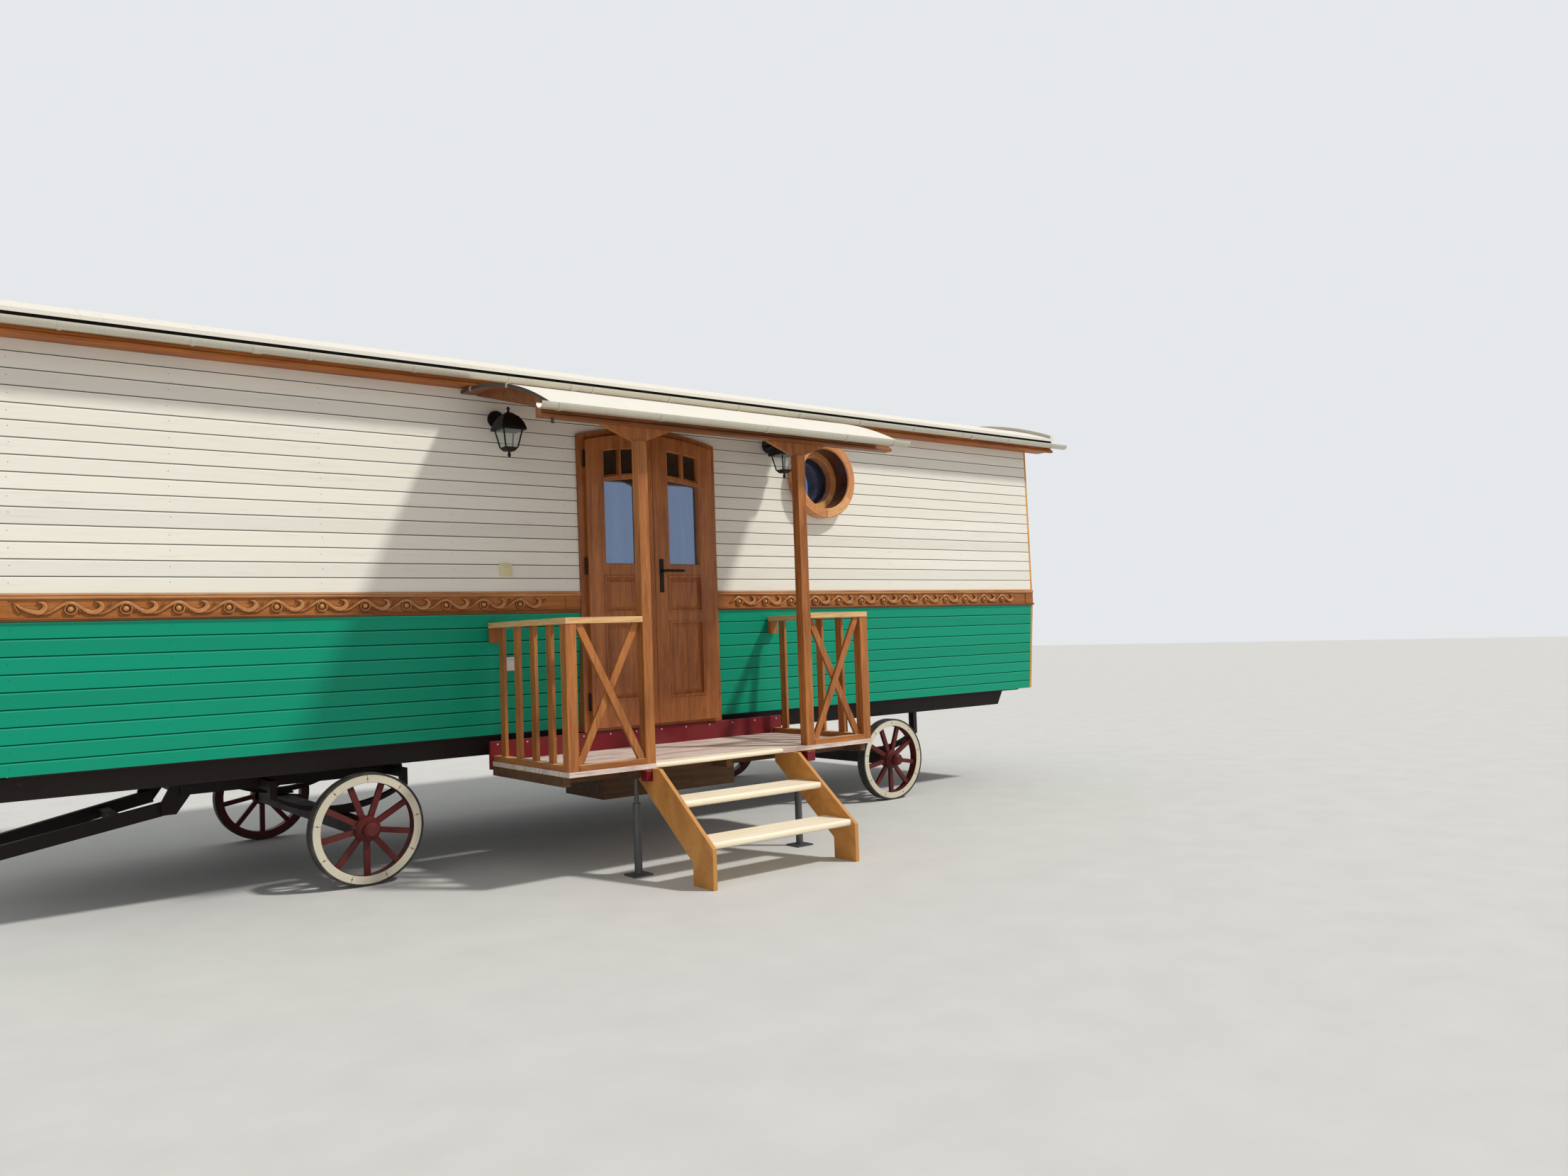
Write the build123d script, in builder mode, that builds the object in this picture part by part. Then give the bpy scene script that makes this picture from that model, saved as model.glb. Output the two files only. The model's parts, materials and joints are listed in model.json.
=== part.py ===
from build123d import *
from math import asin, atan2, cos, degrees, hypot, radians, sin, sqrt
import os

# A long wooden living wagon on four spoked wheels, with a roofed porch, railings and steps.
# Millimetres. X runs along the wagon, the door wall faces -Y and Z is up from the ground.
# The origin is the middle of the footprint on the ground.
# "Inset" is a distance inwards from the plane of the carved frieze, the widest line of a side wall.

# Body
body_length = 8240
body_width = 2500
sill_above_beams = 14
lower_boards_height = 791
frieze_height = 144
upper_boards_height = 1325
lower_tuck = 59
upper_lean = 17
cladding = 22
wall_depth = 120
corner_strip = 25
floor_thickness = 40
board_pitch = 90
groove_height = 9
groove_depth = 7
cut_margin = 50

# Roof and gutters
roof_radius = 3900
roof_rise = 387
roof_thickness = 22
roof_overhang = 185
verge_overhang = 190
verge_strip_height = 33
verge_strip_width = 45
fascia_overhang = 130
fascia_thickness = 22
fascia_drop = 8
fascia_run_past = 225
fascia_end_cut = 18
moulding_height = 26
moulding_proud = 11
soffit_thickness = 15
verge_depth = 75
verge_gap = 2
gutter_radius = 38
gutter_wall = 3
gutter_above_eaves = 65
gutter_gap = 2
gutter_run_past = 362

# Double door
door_from_right_end = 4283
frame_width = 1156
frame_below_sill = 35
frame_below_eaves = 233
frame_rise = 80
frame_stile = 60
frame_sill = 65
frame_proud = 12
frame_gap = 1
leaf_gap = 8
leaf_side_gap = 6
leaf_overlap = 12
leaf_lip = 32
leaf_lip_gap = 6
leaf_core = 24
leaf_lift = 23
light_inner = 131
light_width = 266
glass_lift = 1160
glass_below_spring = 279
glass_bar = 30
light_below_spring = 63
light_muntin = 20
lock_panel_lift = (833, 1066)
tall_panel_lift = (218, 736)
panel_bevel = 34
panel_sink = 14
panel_foot_gap = 8
panel_top_sink = 3
light_arc_depth = 60
glass_thickness = 8
hinge_radius = 9
hinge_pin_gap = 1
hinge_plate = 5
hinge_length = 120
hinge_lifts = (205, 1145)
hinge_below_spring = 167
cover_strip_width = 40
cover_strip_proud = 8
cover_strip_drop = 10
handle_lift = 1115
handle_from_gap = 54
plate_width = 30
plate_below = 155
plate_above = 85
plate_thickness = 8
lever_length = 165
lever_radius = 9
lever_reach = 48

# Porthole
porthole_from_right_end = 2650
porthole_below_eaves = 420
porthole_radius = 318
porthole_opening = 242
porthole_proud = 90
porthole_sleeve = 20
porthole_ledge_inset = 65
porthole_ledge_radius = 188
porthole_tube_wall = 14
porthole_tube_past_wall = 70
porthole_glass_setback = 8
porthole_bevel = 8

# Windows of the far side and the left end
window_width = 1000
window_height = 850
window_above_frieze = 130
window_member = 60
window_proud = 20
window_sill_reach = 45
window_sill_height = 30
far_windows_from_right_end = (1500, 4120, 6740)

# Chassis
beam_height = 122
beam_width = 60
beam_inset = 150
beam_flange = 8
beam_right_setback = 320
beam_left_setback = 30
beam_end_slope = 70
cross_height = 60
cross_width = 60
cross_places = (60, 3300, 5600, 6900)
outrigger_from_end = 60

# Axles, springs and wheels
axle_from_end = 1910
wheel_radius = 340
wheel_headroom = 24
wheel_width = 80
wheel_inset = 20
tyre_thickness = 12
felloe_depth = 48
felloe_width = 72
spoke_count = 9
spoke_width = 34
spoke_thickness = 26
nave_radius = 76
nave_end_radius = 60
nave_length = 120
nave_shoulder = 36
cap_radius = 46
cap_tip_radius = 32
cap_length = 60
cap_shoulder = 42
spoke_root = 10
spindle_radius = 25
spindle_clearance = 0.08
spindle_into_cap = 24
spindle_end_gap = 4
axle_size = 90
hub_gap = 8
spring_half_span = 430
spring_below_frame = 27
spring_thickness = 36
spring_tip_thickness = 18
hanger_lap = 8
spring_width = 60
spring_pad = 14
hanger_size = 40
front_spring_middle = 700

# Turntable and drawbar
ring_radius = 550
ring_width = 60
ring_height = 32
ring_gap = 6
steer_frame_height = 60
steer_frame_width = 80
steer_frame_half_length = 500
steer_rail_middle = 400
fork_reach = 930
fork_below_frame = 74
fork_lug_thickness = 30
fork_lug_gap = 6
fork_lug_half = 40
fork_lug_base = 60
fork_lug_lead = 50
rail_from_pins = 60
arm_height = 80
arm_width = 60
arm_heel = 35
arm_straight = 60
head_lap = 30
eye_reach = 2400
eye_bore_radius = 20
eye_outer_radius = 45
eye_thickness = 30
head_length = 320
head_width = 90
pivot_radius = 15
tie_from_pins = 260
tie_size = 50
head_setback = 12

# Porch
porch_left_of_door = 67
deck_width = 2383
deck_reach = 1061
deck_below_sill = 164
deck_board = 30
deck_board_count = 7
deck_board_gap = 5
nosing_depth = 120
nosing_radius = 13
joist_height = 60
joist_width = 45
rim_setback = 160
skirt_width = 2410
skirt_below_deck = 54
skirt_gap = 1
skirt_thickness = 25
skirt_proud = 22
post_size = 68
post_spacing = 1270
post_below_canopy = 434
post_foot = 62
post_below_deck = 44
post_notch = 1
post_setback = 6
corner_post_size = 70
handrail_height = 897
handrail_thickness = 36
handrail_width = 74
foot_rail_height = 35
foot_rail_width = 60
brace_width = 46
brace_thickness = 22
brace_lap = 10
brace_inset = 16
brace_setback = 12
handrail_proud = 4
slat_width = 64
slat_thickness = 22
slat_count = 4
slat_pitch = 219
slat_from_wall = 136
slat_lap = 5
ledger_width = 70
ledger_thickness = 34
ledger_height = 95
prop_radius = 24
prop_screw_radius = 14
prop_screw_length = 150
prop_base = 130
prop_base_thickness = 10

# Steps
stair_width = 1057
stringer_thickness = 27
stair_reach = 1666
stringer_nose = 235
stringer_foot = 203
stringer_heel = 130
stringer_slope = 0.761
stringer_head_inset = 880
tread_thickness = 40
tread_radius = 17
tread_depth = 258
tread_tops = (261, 471)
tread_fronts = (1634, 1358)

# Canopy over the porch
canopy_left_of_door = 48
canopy_length = 2718
canopy_below_eaves = 16
canopy_radius = 2720
canopy_reach = 1235
canopy_sheet = 12
canopy_ceiling = 9
canopy_rib_width = 30
canopy_rib_wall_depth = 12
canopy_rib_heel = 60
canopy_rib_tail = 40
canopy_rib_count = 4
canopy_rib_inset = 110
canopy_beam_width = 68
canopy_beam_run_past = 117
bracket_half_width = 265
bracket_height = 90
bracket_setback = 36
bracket_thickness = 30
canopy_gutter_run_past = (70, 105)
canopy_beam_inset = 30
canopy_gutter_drop = 6
canopy_wall_gap = 2

# Lanterns
lantern_left_of_door = 20
lantern_spacing = 2290
lantern_below_eaves = 458
lantern_reach = 180
lantern_cap = 172
lantern_rim_height = 15
lantern_dome_height = 102
lantern_glass_top = 130
lantern_glass_bottom = 84
lantern_glass_height = 111
lantern_pane = 3
lantern_bar = 8
lantern_bowl_height = 24
lantern_bowl_foot = 56
lantern_finial_height = 38
lantern_knob = 12
lantern_neck = 6
lantern_arm_size = 14
lantern_plate_radius = 58
lantern_plate_thickness = 14

# Underfloor locker
locker_from_right_end = 3490
locker_size = (1150, 560, 400)

# Places worked out from the sizes above
half_width = body_width / 2
axle_height = wheel_radius
beam_bottom = 2 * wheel_radius + wheel_headroom
beam_top = beam_bottom + beam_height
sill_height = beam_top + sill_above_beams
frieze_bottom = sill_height + lower_boards_height
frieze_top = frieze_bottom + frieze_height
eaves_height = frieze_top + upper_boards_height
roof_crown = eaves_height + roof_rise
gutter_top = eaves_height + gutter_above_eaves
canopy_crown = eaves_height - canopy_below_eaves
post_top = canopy_crown - post_below_canopy
lantern_height = eaves_height - lantern_below_eaves
porthole_height = eaves_height - porthole_below_eaves
window_middle = frieze_top + window_above_frieze + window_height / 2
frame_bottom = sill_height - frame_below_sill
frame_spring = eaves_height - frame_below_eaves
leaf_bottom = frame_bottom + leaf_lift
glass_bottom = frame_bottom + glass_lift
glass_top = frame_spring - glass_below_spring
light_top = frame_spring - light_below_spring
lock_panel = [frame_bottom + lift for lift in lock_panel_lift]
tall_panel = [frame_bottom + lift for lift in tall_panel_lift]
hinge_heights = [frame_bottom + lift for lift in hinge_lifts] + [frame_spring - hinge_below_spring]
handle_height = frame_bottom + handle_lift
deck_top = sill_height - deck_below_sill
skirt_bottom = deck_top - skirt_below_deck
handrail_top = deck_top + handrail_height
steer_frame_top = beam_bottom - ring_height - ring_gap - ring_height
steer_frame_bottom = steer_frame_top - steer_frame_height
fork_height = steer_frame_bottom - fork_below_frame
roof_centre = roof_crown - roof_radius
roof_inner = roof_radius - roof_thickness
foot_reach = eye_reach - eye_outer_radius + head_setback
eye_slope = degrees(
    asin(fork_height / hypot(foot_reach, arm_height / 2)) - atan2(arm_height / 2, foot_reach)
)
eye_tip = eye_reach * cos(radians(eye_slope)) + eye_outer_radius * cos(radians(eye_slope))
tow_reach = fork_reach + eye_tip + eye_thickness / 2 * sin(radians(eye_slope)) - axle_from_end
right_end = (body_length + tow_reach + gutter_run_past) / 2 - gutter_run_past
left_end = right_end - body_length
gutter_inset = -(fascia_overhang + gutter_gap + gutter_radius)
gutter_reach = gutter_radius - gutter_inset
mid_y = (stair_reach - gutter_reach) / 2
door_y = mid_y - half_width
door_x = right_end - door_from_right_end
porch_x = door_x - porch_left_of_door
canopy_x = door_x - canopy_left_of_door
rear_axle_x = right_end - axle_from_end
front_axle_x = left_end + axle_from_end
skirt_x = (porch_x - skirt_width / 2, porch_x + skirt_width / 2)
skirt_top = frame_bottom - skirt_gap

os.makedirs("parts", exist_ok=True)


def side_y(side, inset):
    """Y of a point at an inset from the frieze plane; side is -1 at the door wall, 1 at the far wall."""
    return mid_y + side * (half_width - inset)


def face_inset(z):
    """Inset of the outer boards at a height: tucked in below the frieze, leaning in above it."""
    if z < frieze_bottom:
        return lower_tuck * (frieze_bottom - z) / (frieze_bottom - sill_height)
    if z > frieze_top:
        return upper_lean * (z - frieze_top) / (eaves_height - frieze_top)
    return 0


def roof_height(radius, inset):
    """Height of an arc of the roof over a point at an inset."""
    return roof_centre + sqrt(radius**2 - (half_width - inset) ** 2)


def block(x, y, z, mode=Mode.ADD):
    """A box between two values on each axis."""
    with Locations(((x[0] + x[1]) / 2, (y[0] + y[1]) / 2, (z[0] + z[1]) / 2)):
        Box(abs(x[1] - x[0]), abs(y[1] - y[0]), abs(z[1] - z[0]), mode=mode)


def side_bar(points, x, mode=Mode.ADD):
    """A closed outline of (Y, Z) points, drawn across the wagon and run along X between two places."""
    with BuildSketch(Plane.YZ.offset(x[0])) as section:
        with BuildLine():
            Polyline(*points, close=True)
        make_face()
    extrude(section.sketch, amount=x[1] - x[0], mode=mode)


def groove_heights(z_low, z_high, start, step):
    """Heights of the board joints between two levels, counted from a starting level."""
    heights = []
    z = start
    while z_low + groove_height < z < z_high - groove_height:
        heights.append(z)
        z += step
    return sorted(heights)


def board_face(z_low, z_high, joints):
    """(inset, Z) points up the outer face of a stack of boards, notched at each joint."""
    points = [(face_inset(z_low), z_low)]
    for z in joints:
        points.append((face_inset(z), z - groove_height / 2))
        points.append((face_inset(z) + groove_depth, z))
        points.append((face_inset(z), z + groove_height / 2))
    points.append((face_inset(z_high), z_high))
    return points


def board_section(side, z_low, z_high, joints):
    """The closed (Y, Z) outline of a stack of boards on one side wall."""
    outline = board_face(z_low, z_high, joints)
    outline.append((face_inset(z_high) + cladding, z_high))
    outline.append((face_inset(z_low) + cladding, z_low))
    return [(side_y(side, inset), z) for inset, z in outline]


def arch_centre():
    """Height of the centre of the door arch, and the radius of the frame's outer edge."""
    half = frame_width / 2
    radius = (half**2 + frame_rise**2) / (2 * frame_rise)
    return frame_spring + frame_rise - radius, radius


def arch_height(drop, x):
    """Height of the arc that runs a given distance inside the frame's outer arch, at x from its middle."""
    centre, radius = arch_centre()
    return centre + sqrt((radius - drop) ** 2 - x**2)


def arched_face(x_low, x_high, z_low, drop, y):
    """An outline with upright sides and a top on the door arch, standing at a depth y."""
    with BuildSketch(Plane.XZ.offset(-y)) as outline:
        with BuildLine():
            middle = (x_low + x_high) / 2
            corner_low = (door_x + x_low, arch_height(drop, x_low))
            corner_high = (door_x + x_high, arch_height(drop, x_high))
            ThreePointArc(corner_low, (door_x + middle, arch_height(drop, middle)), corner_high)
            Polyline(corner_high, (door_x + x_high, z_low), (door_x + x_low, z_low), corner_low)
        make_face()
    return outline.sketch


def roof_section(outer, inner, reach, x):
    """The face between two arcs of the roof that reach a given distance each side of the middle."""
    with BuildSketch(Plane.YZ.offset(x)) as section:
        with BuildLine():
            ends = [(mid_y + s * reach, roof_centre + sqrt(outer**2 - reach**2)) for s in (-1, 1)]
            low = [(mid_y + s * reach, roof_centre + sqrt(inner**2 - reach**2)) for s in (-1, 1)]
            ThreePointArc(ends[0], (mid_y, roof_centre + outer), ends[1])
            Line(ends[1], low[1])
            ThreePointArc(low[1], (mid_y, roof_centre + inner), low[0])
            Line(low[0], ends[0])
        make_face()
    return section.sketch


def body_section(inset_by, z_low, roof_line, x):
    """The wagon's cross-section, inset all round and closed by an arc under the roof."""
    levels = (z_low, frieze_bottom, frieze_top, eaves_height)
    insets = [face_inset(z) + inset_by for z in levels]
    top = insets[-1]
    with BuildSketch(Plane.YZ.offset(x)) as section:
        with BuildLine():
            left = [(side_y(-1, i), z) for i, z in zip(insets, levels)]
            right = [(side_y(1, i), z) for i, z in zip(insets, levels)]
            left.append((side_y(-1, top), roof_height(roof_line, top)))
            right.append((side_y(1, top), roof_height(roof_line, top)))
            Polyline(*reversed(left), *right)
            ThreePointArc(left[-1], (mid_y, roof_centre + roof_line), right[-1])
        make_face()
    return section.sketch


def save(part, name):
    """Label a finished piece and write its file."""
    part.label = name
    export_step(part, f"parts/{name}.step")


# Floor
with BuildPart() as floor:
    block(
        (left_end + wall_depth, right_end - wall_depth),
        (side_y(-1, wall_depth), side_y(1, wall_depth)),
        (beam_top, beam_top + floor_thickness),
    )
save(floor.part, "floor")

# Openings cut through the walls and boards of the door side
door_cut_y = (side_y(-1, wall_depth + cut_margin), side_y(-1, -cut_margin))
door_cut = extrude(
    arched_face(-frame_width / 2 - frame_gap, frame_width / 2 + frame_gap, 0, -frame_gap, door_cut_y[0]),
    amount=door_cut_y[0] - door_cut_y[1],
)
porthole_x = right_end - porthole_from_right_end
porthole_at = Plane((porthole_x, side_y(-1, wall_depth), porthole_height), x_dir=(1, 0, 0), z_dir=(0, -1, 0))

# Windows: the far side's, and one in the left end
window_bottom = window_middle - window_height / 2
window_top = window_middle + window_height / 2
half_window = window_width / 2
far_window_places = [right_end - d for d in far_windows_from_right_end]

# Side walls, as thick as frame and lining together, behind the boards
wall_levels = (sill_height, frieze_bottom, frieze_top, eaves_height)
for side, name in ((-1, "wall_door_side"), (1, "wall_far_side")):
    outline = [(side_y(side, face_inset(z) + cladding), z) for z in wall_levels]
    outline.append((side_y(side, upper_lean + cladding), roof_height(roof_inner, upper_lean + cladding)))
    outline.append((side_y(side, wall_depth), roof_height(roof_inner, wall_depth)))
    outline.append((side_y(side, wall_depth), sill_height))
    with BuildPart() as side_wall:
        side_bar(outline, (left_end + wall_depth, right_end - wall_depth))
        if side == -1:
            add(door_cut, mode=Mode.SUBTRACT)
            with BuildSketch(porthole_at.offset(-cut_margin)):
                Circle(porthole_opening + porthole_sleeve)
            extrude(amount=wall_depth + 2 * cut_margin, mode=Mode.SUBTRACT)
        else:
            for x in far_window_places:
                block(
                    (x - half_window, x + half_window),
                    (side_y(1, wall_depth + cut_margin), side_y(1, -cut_margin)),
                    (window_bottom, window_top),
                    mode=Mode.SUBTRACT,
                )
    save(side_wall.part, name)

# End walls, under the arch of the roof
for name, x, has_window in (
    ("wall_left_end", left_end + cladding, True),
    ("wall_right_end", right_end - wall_depth, False),
):
    with BuildPart() as end_wall:
        extrude(body_section(cladding, sill_height, roof_inner, x), amount=wall_depth - cladding)
        if has_window:
            block(
                (x - cut_margin, x + wall_depth + cut_margin),
                (mid_y - half_window, mid_y + half_window),
                (window_bottom, window_top),
                mode=Mode.SUBTRACT,
            )
    save(end_wall.part, name)

# Boards: cream above the frieze and green below it, with a notch at every joint
upper_joints = groove_heights(frieze_top, eaves_height, frieze_top + board_pitch, board_pitch)
lower_joints = groove_heights(sill_height, frieze_bottom, frieze_bottom - board_pitch, -board_pitch)
boarding = (
    ("upper_cladding", frieze_top, eaves_height, upper_joints),
    ("lower_cladding", sill_height, frieze_bottom, lower_joints),
)
clad_x = (left_end + corner_strip, right_end - corner_strip)
for name, z_low, z_high, joints in boarding:
    with BuildPart() as boards:
        for side in (-1, 1):
            side_bar(board_section(side, z_low, z_high, joints), clad_x)
        add(door_cut, mode=Mode.SUBTRACT)
        with BuildSketch(porthole_at.offset(-cut_margin)):
            Circle(porthole_opening + porthole_sleeve)
        extrude(amount=wall_depth + 2 * cut_margin, mode=Mode.SUBTRACT)
        for x in far_window_places:
            block(
                (x - half_window, x + half_window),
                (side_y(1, wall_depth + cut_margin), side_y(1, -cut_margin)),
                (window_bottom, window_top),
                mode=Mode.SUBTRACT,
            )
    with BuildPart() as end_boards:
        for end, outward in ((left_end, -1), (right_end, 1)):
            inner = end - outward * cladding
            points = [(end, z_low)]
            for z in joints:
                points.append((end, z - groove_height / 2))
                points.append((end - outward * groove_depth, z))
                points.append((end, z + groove_height / 2))
            top = z_high if z_high < eaves_height else roof_centre + roof_inner
            points += [(end, top), (inner, top), (inner, z_low)]
            with BuildSketch(Plane.XZ.offset(-side_y(1, corner_strip))) as profile:
                with BuildLine():
                    Polyline(*points, close=True)
                make_face()
            extrude(profile.sketch, amount=body_width - 2 * corner_strip)
        keep = extrude(
            body_section(corner_strip, sill_height, roof_inner, left_end - cut_margin),
            amount=body_length + 2 * cut_margin,
            mode=Mode.PRIVATE,
        )
        add(keep, mode=Mode.INTERSECT)
        block(
            (left_end - cut_margin, left_end + wall_depth),
            (mid_y - half_window, mid_y + half_window),
            (window_bottom, window_top),
            mode=Mode.SUBTRACT,
        )
    both = boards.part + end_boards.part
    save(both, name)

# Frieze boards between the two, all round
with BuildPart() as frieze:
    for side in (-1, 1):
        y_outer = side_y(side, 0)
        y_inner = side_y(side, cladding)
        block(clad_x, (y_outer, y_inner), (frieze_bottom, frieze_top))
    for end, outward in ((left_end, -1), (right_end, 1)):
        block(
            (end, end - outward * cladding),
            (side_y(-1, corner_strip), side_y(1, corner_strip)),
            (frieze_bottom, frieze_top),
        )
    add(door_cut, mode=Mode.SUBTRACT)
save(frieze.part, "frieze")

# Corner strips that cover the ends of the boards
with BuildPart() as corner_strips:
    for side in (-1, 1):
        for x in (left_end, right_end - corner_strip):
            outline = [(side_y(side, face_inset(z)), z) for z in wall_levels]
            outline += [(side_y(side, face_inset(z) + corner_strip), z) for z in reversed(wall_levels)]
            side_bar(outline, (x, x + corner_strip))
    extrude(
        body_section(cladding, sill_height, roof_inner, left_end + cladding),
        amount=body_length - 2 * cladding,
        mode=Mode.SUBTRACT,
    )
save(corner_strips.part, "corner_strips")

# Roof: one arched shell with its overhang and a raised strip along each end
roof_reach = half_width + roof_overhang
roof_x = (left_end - verge_overhang, right_end + verge_overhang)
with BuildPart() as roof:
    extrude(roof_section(roof_radius, roof_inner, roof_reach, roof_x[0]), amount=roof_x[1] - roof_x[0])
    for x in (roof_x[0], roof_x[1] - verge_strip_width):
        raised = roof_section(roof_radius + verge_strip_height, roof_radius - 1, roof_reach, x)
        extrude(raised, amount=verge_strip_width)
save(roof.part, "roof")

# Boxed eaves: a moulded fascia and a soffit on each side, and an arched verge board under each end
fascia_bottom = eaves_height - fascia_drop
fascia_x = (left_end - fascia_run_past, right_end + fascia_run_past)


def moulded_board(side, outer, z_low, z_high, thickness):
    """(Y, Z) points of a board on edge with a moulding along the foot of its outer face."""
    return [
        (side_y(side, outer + thickness), z_low),
        (side_y(side, outer - moulding_proud), z_low),
        (side_y(side, outer - moulding_proud), z_low + moulding_height - moulding_proud),
        (side_y(side, outer), z_low + moulding_height),
        (side_y(side, outer), z_high),
        (side_y(side, outer + thickness), z_high),
    ]


def end_cuts(ends, z_low, z_high, y):
    """Cut (X, inward) ends of a moulded board: a hollow over the moulding, and set back above it."""
    hollow = z_low + moulding_height + fascia_end_cut
    for end, inward in ends:
        with BuildSketch(Plane.XZ.offset(-y[1])) as cut:
            with Locations((end, hollow)):
                Circle(fascia_end_cut)
        extrude(cut.sketch, amount=y[1] - y[0], mode=Mode.SUBTRACT)
        block(
            (end - inward, end + inward * fascia_end_cut),
            y,
            (hollow, z_high),
            mode=Mode.SUBTRACT,
        )


with BuildPart() as eaves:
    for side in (-1, 1):
        outer = -fascia_overhang
        inner = outer + fascia_thickness
        side_bar(
            moulded_board(side, outer, fascia_bottom, roof_height(roof_inner, outer), fascia_thickness),
            fascia_x,
        )
        cut_y = sorted((side_y(side, outer - cut_margin), side_y(side, inner + 1)))
        end_cuts(((fascia_x[0], 1), (fascia_x[1], -1)), fascia_bottom, roof_crown, cut_y)
        block(
            roof_x,
            (side_y(side, inner), side_y(side, upper_lean)),
            (eaves_height, eaves_height + soffit_thickness),
        )
    verge_reach = half_width + fascia_overhang - fascia_thickness - verge_gap
    for x in (roof_x[0], roof_x[1] - fascia_thickness):
        extrude(roof_section(roof_inner, roof_inner - verge_depth, verge_reach, x), amount=fascia_thickness)
save(eaves.part, "eaves_boards")

# Half-round gutters, run past the roof
gutter_x = (left_end - gutter_run_past, right_end + gutter_run_past)


def gutter(y, z, x, caps):
    """A half-round gutter along X with a cap at the places given; z is its rim."""
    with BuildSketch(Plane.YZ.offset(x[0])) as section:
        with Locations((y, z)):
            Circle(gutter_radius)
            Circle(gutter_radius - gutter_wall, mode=Mode.SUBTRACT)
            with Locations((0, gutter_radius)):
                Rectangle(2 * gutter_radius, 2 * gutter_radius, mode=Mode.SUBTRACT)
    extrude(section.sketch, amount=x[1] - x[0])
    for end in caps:
        with BuildSketch(Plane.YZ.offset(end)) as cap:
            with Locations((y, z)):
                Circle(gutter_radius)
                with Locations((0, gutter_radius)):
                    Rectangle(2 * gutter_radius, 2 * gutter_radius, mode=Mode.SUBTRACT)
        extrude(cap.sketch, amount=gutter_wall)


with BuildPart() as gutters:
    for side in (-1, 1):
        gutter(side_y(side, gutter_inset), gutter_top, gutter_x, (gutter_x[0], gutter_x[1] - gutter_wall))
save(gutters.part, "gutters")

# Door frame: stiles, arched head and sill, standing a little proud of the frieze
frame_front = side_y(-1, -frame_proud)
frame_back = side_y(-1, wall_depth)
with BuildPart() as door_frame:
    half = frame_width / 2
    extrude(arched_face(-half, half, frame_bottom, 0, frame_back), amount=frame_back - frame_front)
    hole = half - frame_stile
    extrude(
        arched_face(-hole, hole, frame_bottom + frame_sill, frame_stile, frame_back + 1),
        amount=frame_back - frame_front + 2,
        mode=Mode.SUBTRACT,
    )
save(door_frame.part, "door_frame")

# Door leaves: a lipped slab each, with a window below an arched bar, a two-pane light and two raised panels
lip_back = frame_front - leaf_lip_gap
lip_front = lip_back - leaf_lip
core_back = lip_back + leaf_core
lip_outer = frame_width / 2 - frame_stile + leaf_overlap
core_outer = frame_width / 2 - frame_stile - leaf_side_gap
leaf_inner = leaf_gap / 2
light_outer = light_inner + light_width
hinge_x = lip_outer + hinge_radius
hinge_y = lip_back - hinge_radius
light_middle = light_inner + light_width / 2
centre_crown = frame_spring + frame_rise


def span(hand, low, high):
    """Two places from the middle of the door, in rising order, for a leaf on either hand."""
    return (hand * low, hand * high) if hand > 0 else (-high, -low)


def leaf_block(hand, low, high, y, z, mode=Mode.ADD):
    """A box on a leaf between two distances from the middle of the door."""
    x_low, x_high = span(hand, low, high)
    block((door_x + x_low, door_x + x_high), y, z, mode=mode)


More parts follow.
